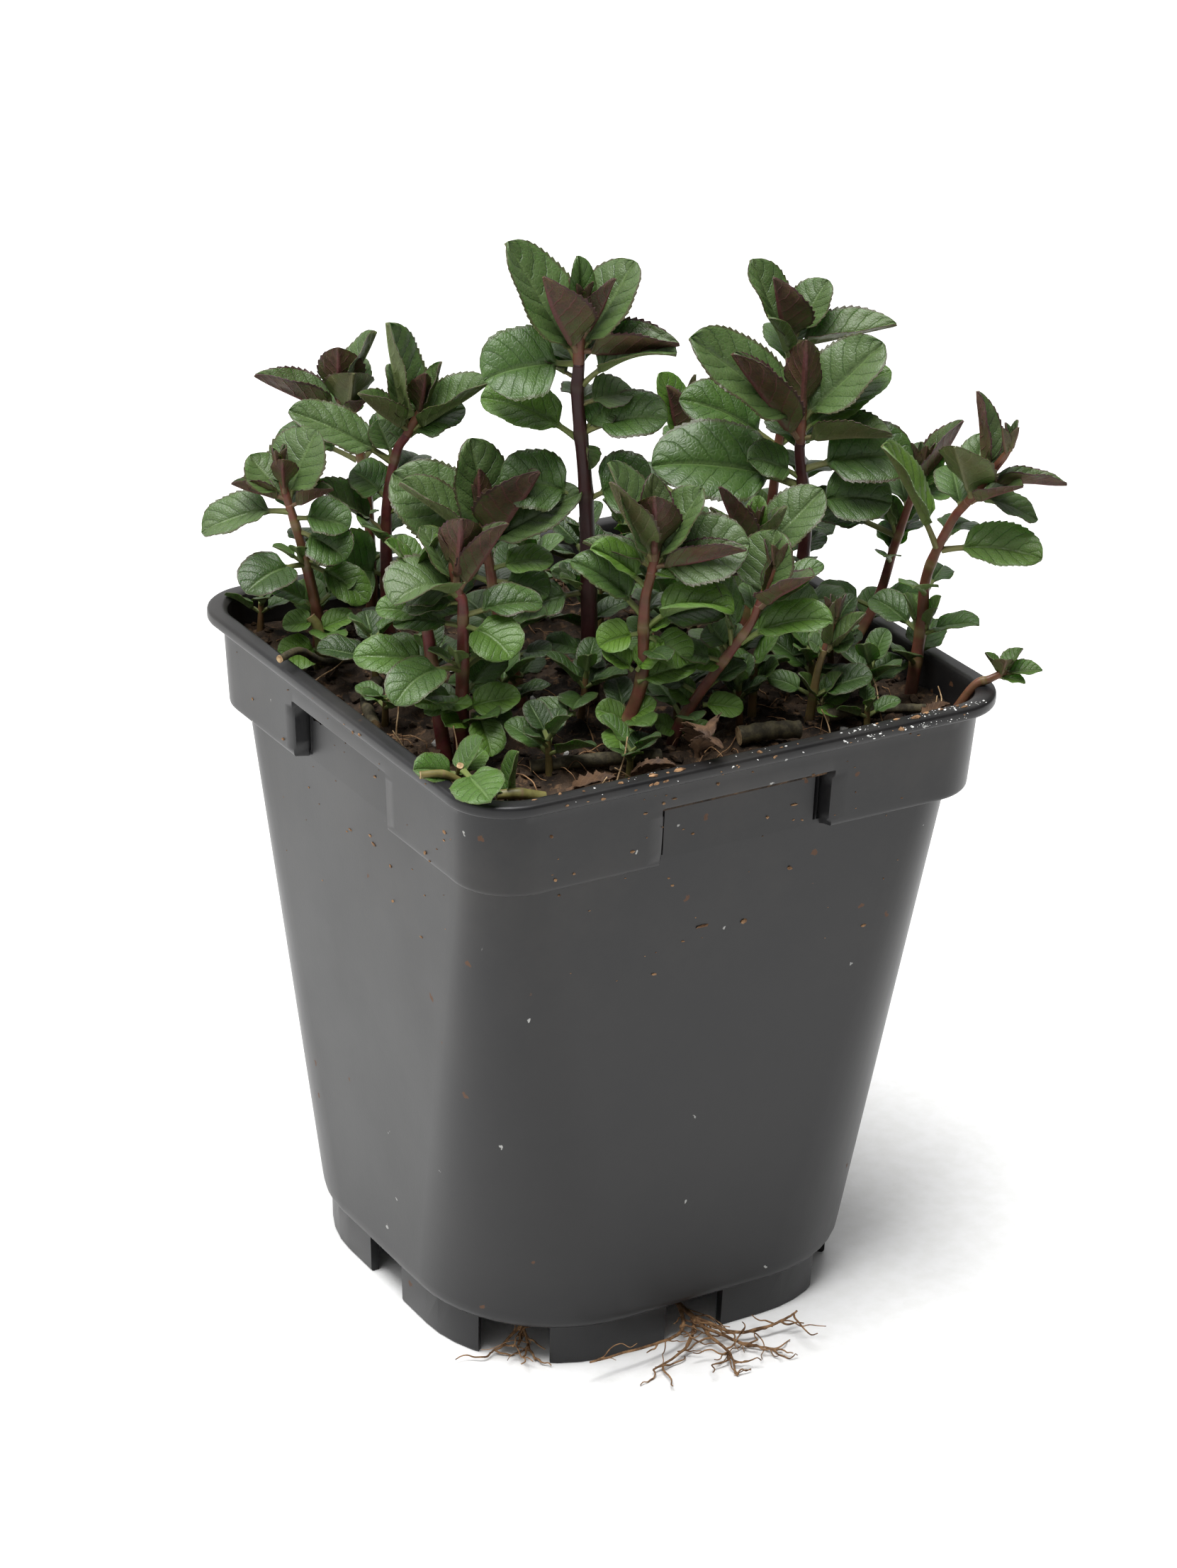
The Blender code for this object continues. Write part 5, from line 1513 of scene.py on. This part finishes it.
def build_sprigs():
    """Little shoots that come up between the stems."""
    for number, (x, y, tall, leaves, size) in enumerate(SPRIGS):
        draw = random.Random(SPRIG_SEED + number)
        lot = Lot()
        ground = ground_at(x, y)
        lean = draw.uniform(-0.12, 0.12), draw.uniform(-0.12, 0.12)
        path = [np.array((x, y, ground - 1.0)),
                np.array((x + lean[0] * tall, y + lean[1] * tall, ground + tall))]
        line = smooth_path(path, 8)
        layer = np.column_stack((np.linspace(0, 1, 9), np.full(9, 0.4), np.full(9, draw.uniform(0.1, 0.6))))
        add_strand(lot, line, np.linspace(0.62, 0.42, 9), 10, finish=2, squareness=0.05, stem_place=layer)
        heading = draw.uniform(0, 360)
        for k in range(leaves):
            level = ground + tall * (0.35 + 0.65 * (k // 2 + 1) / ((leaves + 1) // 2))
            root = stem_point(path, level)
            blade = size * draw.uniform(0.75, 1.1) * (1 - 0.12 * (k // 2))
            # Paleness drawn mostly below zero is painted shade that darkens these low sprig leaves.
            add_leaf(lot, root, heading + 180 * (k % 2) + 90 * (k // 2) + draw.uniform(-15, 15),
                     draw.uniform(14, 36) + 14 * (k // 2), blade, blade * 0.84, 1.4, 16, -12, "round",
                     (0.2, 0.12, draw.uniform(-1.0, 0.1)), SPRIG_LEAF_SEED + 40 * number + k,
                     roll=front_lean(heading, 15))
        make_piece("sprig_%02d" % number, lot, LEAF_FINISHES, crease=LEAF_CREASE)


# Sprigs: x, y, height, number of leaves, leaf length.
SPRIGS = (
    (-24, -28, 5, 6, 6), (-14, -33, 4, 4, 5.5), (-22, -12, 8, 6, 7), (-26, 4, 7, 6, 7),
    (-12, -16, 7, 6, 6.5), (2, -20, 8, 6, 7), (9, -26, 6, 6, 6), (12, -20, 8, 6, 7), (24, -22, 7, 6, 6.5),
    (29, -29, 6, 6, 6.5), (10, -4, 11, 6, 8), (0, 2, 11, 6, 8), (-8, 12, 10, 6, 8), (8, 12, 12, 6, 8),
    (20, 4, 11, 6, 8), (20, 16, 10, 6, 8), (2, 24, 10, 6, 8), (14, 28, 9, 6, 8), (-8, 30, 8, 6, 7),
    (26, 34, 7, 6, 7), (36, 30, 6, 6, 7), (-30, 12, 8, 6, 7), (-28, 34, 6, 6, 7), (34, 0, 8, 6, 7),
    (30, -18, 7, 6, 7), (-36, 38, 4, 4, 6), (4, 38, 5, 5, 6), (38, 38, 4, 4, 6), (-34, 2, 4, 4, 5),
    (25, -35, 3, 4, 4.5),
)


# ---------------------------------------------------------------- runners and roots
def build_runner(name):
    """A cut length of old runner lying on the soil."""
    low, high, radius = RUNNERS[name]
    low, high = np.array(low, float), np.array(high, float)
    middle = (low + high) / 2 + np.array((0, 0, 0.3))
    line = smooth_path((low, middle, high), 10)
    rough = 1 + 0.06 * np.sin(np.arange(len(line)) * 1.3)[:, None] * np.ones((1, 14))
    lot = Lot()
    add_strand(lot, line, radius * np.linspace(1.0, 0.93, len(line)), 14, rough=rough)
    lot.finishes[-1] = lot.finishes[-2] = 1
    make_piece("cut_" + name, lot, [BARK_WITH_PAINTED_SHADE, CUT_WOOD], [name], crease=BARK_CREASE)


ROOT_LOW, ROOT_HIGH, ROOT_FRONT = 0.22, 5.5, -47.3


def build_roots(name):
    """Root strands that grew out through a drain hole, with their fine side roots."""
    draw = random.Random(sum(map(ord, name)))
    lot = Lot()
    for points, radius in ROOTS[name]:
        line = smooth_path(points, 8)
        jog = np.array([[draw.gauss(0, 0.16) for _ in range(3)] for _ in line])
        jog[:2] = 0
        line = line + np.cumsum(jog, axis=0) * 0.35
        line[:, 2] = np.maximum(line[:, 2], 0.35)
        add_strand(lot, line, radius * np.linspace(0.62, 0.3, len(line)), 7)
        for _ in range(9 if name == "roots_front" else 5):
            k = draw.randrange(2, len(line))
            start = line[k]
            heading = draw.uniform(-2.9, -0.2) if name == "roots_front" else draw.uniform(-4.0, -1.0)
            length = draw.uniform(2.5, 8.0)
            side = [start]
            for _ in range(6):
                heading += draw.uniform(-0.7, 0.7)
                rise = draw.uniform(-0.5, 0.5)
                step = length / 6
                nxt = side[-1] + np.array((math.cos(heading) * step, math.sin(heading) * step, rise * step))
                nxt[2] = min(max(nxt[2], ROOT_LOW), ROOT_HIGH)
                nxt[1] = max(nxt[1], ROOT_FRONT)
                side.append(nxt)
            thin = draw.uniform(0.1, 0.2)
            add_strand(lot, smooth_path(side, 3), np.linspace(thin, thin * 0.5, 19), 5)
    make_piece("fine_" + name, lot, [ROOT_BROWN], [name])


# ---------------------------------------------------------------- small growth round the stems
# Leaves placed one by one: where the stalk starts, where the tip is, flat width, fold, share of the
# length that is stalk, habit, how pale, how purple, roll.
PLACED_LEAVES = {
    "low_front_leaves_j": (
        ((-31, -16.5, 102.4), (-24.4, -20.3, 104.2), 5.6, 14, 0.12, "round", 0.6, 0.05, 34),
        ((-30.2, -18.5, 101.8), (-30.6, -23.2, 97.4), 5.4, 10, 0.12, "round", 0.5, 0.05, 0),
        ((-31.5, -16, 100.2), (-35.6, -18.6, 101.4), 4.2, 16, 0.1, "round", 0.85, 0.0, -30),
        ((-30, -16, 101), (-25.6, -20, 100.6), 4.8, 12, 0.12, "round", 0.35, 0.1, 34),
        ((-32, -15.5, 102.8), (-36.8, -14.6, 102), 3.4, 12, 0.1, "round", 0.3, 0.1, -20),
    ),
    "corner_sprig": (
        ((-39.6, -29.8, 98.8), (-36.6, -31, 104.6), 6.6, 14, 0.10, "round", 0.1, 0.05, 8),
        ((-40.6, -32.6, 101.2), (-42.6, -43.6, 101.2), 7.6, 8, 0.30, "round", 0.2, 0.05, 12),
        ((-40.4, -30, 99.6), (-46.8, -29.8, 101.4), 5.2, 16, 0.12, "round", 0.1, 0.1, -30),
        ((-33.6, -34, 96.4), (-33, -34.4, 103.2), 5.2, 26, 0.12, "round", 0.1, 0.12, 20),
        ((-34, -34, 97.2), (-37.8, -34.2, 98.6), 2.6, 20, 0.1, "round", 0.1, 0.05, -20),
        ((-38.4, -29, 98.8), (-34.6, -28, 101.2), 4.6, 16, 0.12, "round", 0.4, 0.05, 20),
    ),
    "low_front_leaves_k": (
        ((-9.6, -26, 107.6), (-13.4, -23.6, 111), 4.6, 18, 0.12, "round", 0.7, 0.05, -34),
        ((-9.2, -26.4, 107.6), (-5.8, -28, 112.2), 4.8, 18, 0.12, "round", 0.75, 0.05, 34),
        ((-10.2, -25.4, 99.8), (-14, -23.4, 101.4), 4.6, 14, 0.12, "round", 0.55, 0.05, -34),
        ((-10, -25.6, 99.8), (-6.6, -28, 102.8), 4.2, 14, 0.12, "round", 0.6, 0.05, 34),
        ((-9, -26.4, 106), (-1.4, -30, 108.4), 5.4, 14, 0.14, "round", 0.6, 0.05, 34),
        ((-11, -25, 98.4), (-13.2, -29.4, 96.8), 5.4, 12, 0.1, "round", 0.5, 0.08, 0),
        ((-16, -21.4, 100.4), (-22.4, -17.8, 99.6), 5.6, 12, 0.12, "round", 0.15, 0.1, -34),
    ),
    "low_front_leaves_m": (
        ((3, -30.4, 107.6), (-2, -28, 109), 4.4, 14, 0.12, "round", 0.6, 0.05, -34),
        ((0.6, -28.8, 101.4), (5.8, -31.4, 100.6), 4.2, 14, 0.12, "round", 0.65, 0.05, 34),
        ((-0.6, -28, 101.4), (-3.8, -26.2, 105), 5.0, 16, 0.12, "round", 0.35, 0.05, -30),
        ((-2.4, -27.6, 97.4), (1.6, -30.6, 97.4), 3.8, 12, 0.12, "round", 0.6, 0.05, 30),
        ((-2.8, -27.2, 97.4), (-6, -26.4, 98.8), 3.8, 12, 0.12, "round", 0.5, 0.05, -30),
    ),
    "sprig_front_right": (
        ((12, -24.6, 103.6), (14.6, -27, 109), 5.8, 10, 0.1, "round", 0.15, 0.1, 20),
        ((12, -24.6, 100), (14, -27.6, 104.6), 6.0, 10, 0.1, "round", 0.15, 0.1, 20),
        ((12, -24.4, 103), (8.4, -24, 105), 5.0, 12, 0.1, "round", 0.1, 0.1, -30),
        ((20, -29.4, 97.4), (21.6, -33, 97), 3.8, 12, 0.1, "round", 0.5, 0.05, 10),
        ((20.2, -29.4, 98), (17.2, -28.4, 103), 4.4, 22, 0.12, "young", 0.2, 0.55, -20),
        ((20.4, -29.6, 98), (24.6, -31.2, 100), 4.2, 20, 0.12, "young", 0.2, 0.5, 30),
        ((20.4, -29.6, 98.4), (22.8, -31, 103), 4.4, 26, 0.12, "young", 0.15, 0.6, 20),
    ),
    "left_back_sprig": (
        ((-34.6, 22.2, 97.6), (-40.8, 22, 96.8), 6.2, 14, 0.1, "round", 0.7, 0.02, -40),
        ((-34.6, 22.8, 101.8), (-39, 24.8, 101.2), 4.6, 18, 0.1, "round", 0.5, 0.02, -30),
        ((-34.4, 22.4, 100.4), (-29.4, 20.2, 102.6), 4.6, 18, 0.16, "round", 0.5, 0.02, 30),
    ),
    "leaves_behind_j": (
        ((-34.6, -12.4, 108.6), (-44.4, -7.4, 109.2), 7.2, 12, 0.14, "grown", 0.3, 0.1, -30),
        ((-34.8, -11, 115.4), (-41.2, -8, 116), 5.4, 12, 0.12, "grown", 0.3, 0.12, -22),
        ((-34.8, -11, 115.4), (-29.8, -13.6, 117), 5.0, 14, 0.12, "grown", 0.2, 0.15, 22),
        ((-35, -9.4, 120.4), (-39.4, -7.6, 126), 5.0, 20, 0.12, "open", 0.25, 0.25, -14),
        ((-35, -9.4, 120.4), (-33, -11.4, 127), 5.0, 22, 0.12, "open", 0.25, 0.25, 14),
        ((-35, -9.2, 120.6), (-36, -5.2, 125.4), 4.4, 24, 0.12, "open", 0.2, 0.3, 0),
        ((-34.2, -13.6, 102.4), (-31, -18, 103.4), 4.0, 12, 0.12, "round", 0.5, 0.05, 20),
        ((-34, -14, 102.4), (-38.4, -14.8, 103.6), 4.0, 12, 0.12, "round", 0.5, 0.05, -20),
    ),
    "right_corner_sprig": (
        ((45.4, -39.6, 101.6), (50.6, -42, 102.2), 4.2, 26, 0.15, "young", 0.3, 0.7, 20),
        ((45.4, -39.6, 101.6), (48.6, -39.4, 105), 4.0, 34, 0.15, "young", 0.2, 0.85, 0),
        ((45, -39.6, 101.5), (44.2, -41.6, 104.8), 3.8, 32, 0.15, "young", 0.2, 0.8, 0),
        ((45.2, -39.4, 101.6), (43.4, -37.6, 104.6), 3.0, 30, 0.15, "young", 0.3, 0.6, 0),
        ((44.6, -39.4, 101.3), (47.4, -42.4, 100.9), 2.6, 20, 0.15, "young", 0.4, 0.4, 10),
    ),
}
# Short stems of those sprigs: points, first and last radius, redness.
SPRIG_STEMS = {
    "stem_behind_j": (
        ((-33.7, -15.5, 94.5), (-34.1, -13.6, 102), (-34.6, -11.6, 112), (-35, -9, 121)),
        1.1, 0.7, 0.9),
    "stem_corner_sprig": (((-38.6, -29, 95), (-39.6, -30, 99), (-40.4, -31.4, 101.4)), 0.7, 0.5, 0.2),
    "stem_corner_upright": (((-33.4, -33.6, 94.6), (-33.6, -34, 97.6)), 0.6, 0.45, 0.3),
    "stem_front_right": (((12, -24.4, 95), (12, -24.5, 104.2)), 0.7, 0.5, 0.35),
    "stem_left_back": (
        ((-34, 22.4, 94), (-34, 22.2, 98), (-34.4, 22.4, 101), (-35.2, 23.2, 102.6)),
        0.95, 0.7, 0.0),
    "stem_right_corner": (
        ((38.6, -36.4, 94.6), (41.4, -38, 99.8), (43.4, -39, 100.9), (45.6, -39.7, 101.9)),
        0.75, 0.5, 0.7),
    "cut_stub": (((-39.4, -32.4, 98.4), (-43, -31.6, 100.7), (-46.4, -30.9, 101)), 0.5, 0.55, 0.1),
    "lying_stem_corner": (
        ((-36.4, -34.6, 97.4), (-33.4, -35.6, 97.4), (-29.8, -36.4, 96.4)),
        0.7, 0.8, 0.0),
}
# Old twigs and runners that lie about: points and radius.
OLD_RUNNERS = {
    "twig_over_rim": (
        ((-45.4, 13.2, 101.5), (-41, 15.4, 101.1), (-36, 17.6, 97.6), (-30, 19.5, 96.2)), 0.6),
    "runner_right": (((20.1, -31.8, 96.9), (24.5, -32.8, 97.4), (28.6, -33.8, 97.2)), 0.95),
    "runner_long_right": (((27, -30.5, 95.9), (32, -33.5, 96.4), (37, -35.4, 96.0)), 0.7),
    "runner_middle": (((-26, -26, 96), (-18, -29.5, 96.8), (-8, -31.5, 96.3)), 1.0),
    "runner_left": (((-38, -2, 95.4), (-35, 6, 95.8), (-30, 12, 95.6)), 0.9),
}


def leaf_between(lot, root, tip, width, fold, stalk_share, habit, tone, seed, roll):
    """A leaf from where its stalk starts to where its tip is."""
    reach = np.array(tip, float) - np.array(root, float)
    length = float(np.linalg.norm(reach))
    heading = math.degrees(math.atan2(reach[1], reach[0]))
    rise = math.degrees(math.asin(reach[2] / length))
    droop = -HABITS[habit]["nod"] * NOD_SHARE
    add_leaf(lot, root, heading, rise + droop, length * (1 - stalk_share), width, length * stalk_share,
             fold, -8, habit, tone, seed, roll)


def build_small_growth():
    """Sprigs, low leaves and short stems that stand by the rim and between the stems."""
    for order, (name, rows) in enumerate(PLACED_LEAVES.items()):
        lot = Lot()
        for k, (root, tip, width, fold, stalk_share, habit, pale, purple, roll) in enumerate(rows):
            leaf_between(lot, root, tip, width, fold, stalk_share, habit, (0.25, purple, pale),
                         PLACED_SEED + 60 * order + k, roll)
        make_piece(name, lot, LEAF_FINISHES, crease=LEAF_CREASE)
    for name, (points, first, last, redness) in SPRIG_STEMS.items():
        line = smooth_path(points, 10)
        count = len(line)
        share = np.linspace(0.15, 1, count)
        joint = np.exp(-((share - 0.6) / 0.07) ** 2)
        lot = Lot()
        add_strand(lot, line, np.linspace(first, last, count) * (1 + 0.12 * joint), 16, squareness=0.05,
                   stem_place=np.column_stack((share, joint, np.full(count, redness))))
        lot.finishes[-1] = 1
        make_piece(name, lot, [STEM_SKIN, CUT_WOOD], crease=WOOD_CREASE)
    for name, (points, radius) in OLD_RUNNERS.items():
        draw = random.Random(sum(map(ord, name)))
        line = smooth_path(points, 9)
        swell = np.array([draw.uniform(0.92, 1.08) for _ in line])
        lot = Lot()
        add_strand(lot, line, radius * swell, 14, squareness=0.05)
        lot.finishes[-1] = lot.finishes[-2] = 1
        make_piece(name, lot, [BARK_WITH_PAINTED_SHADE, CUT_WOOD], crease=WOOD_CREASE)


def build_dry_scraps():
    """Withered leaves: one hangs over the front of the rim, others lie on the soil."""
    lot = Lot()
    for k, (root, heading, rise, blade, width, fold, curl, roll) in enumerate(DRY_LEAVES):
        add_leaf(lot, root, heading, rise, blade, width, 0.8, fold, curl, "young", (0, 0, 0),
                 DRY_SEED + k, roll, torn=0.8)
    make_piece("dry_leaves", lot, [DRY_LEAF, DRY_LEAF, DRY_LEAF], crease=LEAF_CREASE)


# Dry leaves: root, heading, rise, blade, width, fold, curl, roll.
DRY_LEAVES = (
    ((-5.6, -38.4, 98.6), -112, 42, 9.5, 6.5, 24, -150, 16),
    ((-7.6, -40.6, 99.6), -84, 30, 8.0, 4.4, -20, -140, -24),
    ((-26, -36, 96.4), -20, 12, 6.5, 3.4, 30, -30, 10),
    ((-17, -37.4, 96.4), -40, 25, 7.0, 3.4, 40, -60, -10),
    ((32, -37.5, 95.6), 10, 12, 6.0, 3.0, 30, -40, 0),
    ((-38, -20, 95.4), 70, 10, 5.0, 3.2, 30, -30, 0),
)


def build_specks():
    """Peat specks and lime flakes that cling to the pot's upper walls and lip."""
    draw = random.Random(SPECK_SEED)
    specks = Lot()
    for _ in range(210):
        turn = draw.choice((0, 0, 0, 270, 270, 90, 180))
        along = draw.uniform(-40, 40)
        z = 99.0 - 36 * draw.random() ** 1.7
        wall = (RIM_HALF if z > 98.3 else collar_half(z) if z > 85.2 and (abs(along) > 14.2 or z > 93.9)
                else BODY_HALF_TOP + 0.03 * (z - COLLAR_BOTTOM) if z > 84.7 else body_half(z)[0])
        if abs(along) > wall - (9.5 if z > 84 else body_half(z)[1]):
            continue
        size = 0.12 + 0.38 * draw.random() ** 2.5
        form = Lot()
        lump(form, (0, 0, 0), size, draw, 0.7)
        body = form.points[0] * np.array((draw.uniform(0.7, 2.0), 0.5, 1.0))
        body = body + np.array((along, -wall - size * 0.12, z))
        specks.add(turned(body, turn), form.faces)
    for _ in range(70):
        x = 44 - 84 * draw.random() ** 1.6
        if abs(x) > 36:
            continue
        y, z = draw.choice(((-44.0, 100.0), (-43.2, 99.98), (-45.0, 99.3), (-42.4, 99.2)))
        form = Lot()
        lump(form, (0, 0, 0), 0.16 + 0.5 * draw.random() ** 2.2, draw, 0.8)
        body = form.points[0] * np.array((draw.uniform(0.8, 2.2), 0.9, 0.8))
        specks.add(body + np.array((x, y, z)), form.faces)
    make_piece("wall_specks", specks, [ROOT_BROWN], smooth=False)

    lime = Lot()
    for _ in range(150):
        x = draw.choice((draw.uniform(14, 22), draw.uniform(24, 41), draw.uniform(24, 41),
                         draw.uniform(-40, 40)))
        y, z = draw.choice(((-45.02, draw.uniform(98.7, 99.5)), (draw.uniform(-44.4, -42.9), 100.0)))
        if abs(x) > 35.5 and y < -44.5:
            continue
        lump(lime, (x, y, z), 0.07 + 0.2 * draw.random() ** 3, draw, 0.6)
    make_piece("lime_flakes", lime, [LIME], smooth=False)


# ---------------------------------------------------------------- everything
build_pot()
build_soil()
build_litter()
for shoot_name in SHOOTS:
    build_stem(shoot_name)
    build_crown(shoot_name)
    for pair_number, (joint_z, *leaf_rows) in enumerate(SHOOTS[shoot_name]["pairs"], 1):
        build_pair(shoot_name, pair_number, joint_z, leaf_rows)
build_undergrowth()
build_sprigs()
for runner_name in RUNNERS:
    build_runner(runner_name)
for root_name in ROOTS:
    build_roots(root_name)
build_small_growth()
build_dry_scraps()
build_specks()


# ---------------------------------------------------------------- studio
FLOOR_REACH = 6.0
LAMP_PLACE = (-0.25, -0.05, 1.2)
LAMP_AIM = (0.0, 0.0, 0.09)
LAMP_SIDE = 0.8
LAMP_POWER = 26.0
# The surroundings are brighter on one side: where that is, where the change from dim to bright starts
# and ends, and how strong the two are.
SKY_SIDE = (-0.55, 0.68, 0.48)
SKY_CHANGE = (-0.5, 0.75)
SKY_STRENGTH = (0.035, 0.96)
CAMERA_PLACE = (-0.3090, -0.5045, 0.3460)
CAMERA_RIGHT = (0.859, -0.511, 0.027)
CAMERA_UP = (0.190, 0.368, 0.910)
LENS = 99.7


def build_floor():
    """A wide pale floor with a faint speckle."""
    mesh = bpy.data.meshes.new("studio_floor")
    corners = ((-1, -1), (1, -1), (1, 1), (-1, 1))
    mesh.from_pydata([(FLOOR_REACH * x, FLOOR_REACH * y, 0) for x, y in corners], [], [(0, 1, 2, 3)])
    material, tree, shader = new_material("studio_floor", Roughness=0.8, Specular_IOR_Level=0.2)
    tones = mottled(tree, (0.86, 0.86, 0.85), (0.90, 0.90, 0.90), 3.0)
    feed(tree, shader.inputs["Base Color"], tones["Color"])
    grained(tree, shader, 0.6, 0.5, 0.35, 0.25)
    mesh.materials.append(material)
    floor = bpy.data.objects.new("studio_floor", mesh)
    bpy.context.scene.collection.objects.link(floor)


def build_lamp():
    """One soft square lamp overhead."""
    lamp = bpy.data.lights.new("lamp_overhead", "AREA")
    lamp.shape = "RECTANGLE"
    lamp.size, lamp.size_y, lamp.energy = LAMP_SIDE, LAMP_SIDE, LAMP_POWER
    stand = bpy.data.objects.new("lamp_overhead", lamp)
    stand.location = LAMP_PLACE
    stand.rotation_euler = (Vector(LAMP_AIM) - Vector(LAMP_PLACE)).to_track_quat("-Z", "Y").to_euler()
    bpy.context.scene.collection.objects.link(stand)


def build_studio():
    """White surroundings, a soft lamp and the camera."""
    scene = bpy.context.scene
    world = bpy.data.worlds.new("white_studio")
    world.use_nodes = True
    tree = world.node_tree
    surroundings = tree.nodes["Background"]
    surroundings.inputs["Color"].default_value = (1.0, 1.0, 1.0, 1.0)
    ways = node(tree, "TexCoord").outputs["Generated"]
    facing = node(tree, "VectorMath", {0: ways, 1: SKY_SIDE}, operation="DOT_PRODUCT")
    feed(tree, surroundings.inputs["Strength"],
         ramp(tree, facing.outputs["Value"], *SKY_CHANGE, *SKY_STRENGTH))
    seen = tree.nodes.new("ShaderNodeBackground")
    seen.inputs["Color"].default_value = (1.0, 1.0, 1.0, 1.0)
    seen.inputs["Strength"].default_value = 1.0
    ray = tree.nodes.new("ShaderNodeLightPath")
    mixed = tree.nodes.new("ShaderNodeMixShader")
    tree.links.new(ray.outputs["Is Camera Ray"], mixed.inputs[0])
    tree.links.new(surroundings.outputs[0], mixed.inputs[1])
    tree.links.new(seen.outputs[0], mixed.inputs[2])
    tree.links.new(mixed.outputs[0], tree.nodes["World Output"].inputs["Surface"])
    scene.world = world
    scene.view_settings.view_transform = "Standard"
    scene.view_settings.look = "None"

    build_lamp()
    build_floor()

    lens = bpy.data.cameras.new("camera")
    lens.lens, lens.sensor_width, lens.sensor_fit = LENS, 36.0, "AUTO"
    lens.clip_start, lens.clip_end = 0.01, 50.0
    camera = bpy.data.objects.new("camera", lens)
    right, up = Vector(CAMERA_RIGHT).normalized(), Vector(CAMERA_UP)
    back = right.cross(up).normalized()
    up = back.cross(right)
    camera.matrix_world = Matrix.Translation(Vector(CAMERA_PLACE)) @ Matrix(
        (right, up, back)).transposed().to_4x4()
    scene.collection.objects.link(camera)
    scene.camera = camera


build_studio()
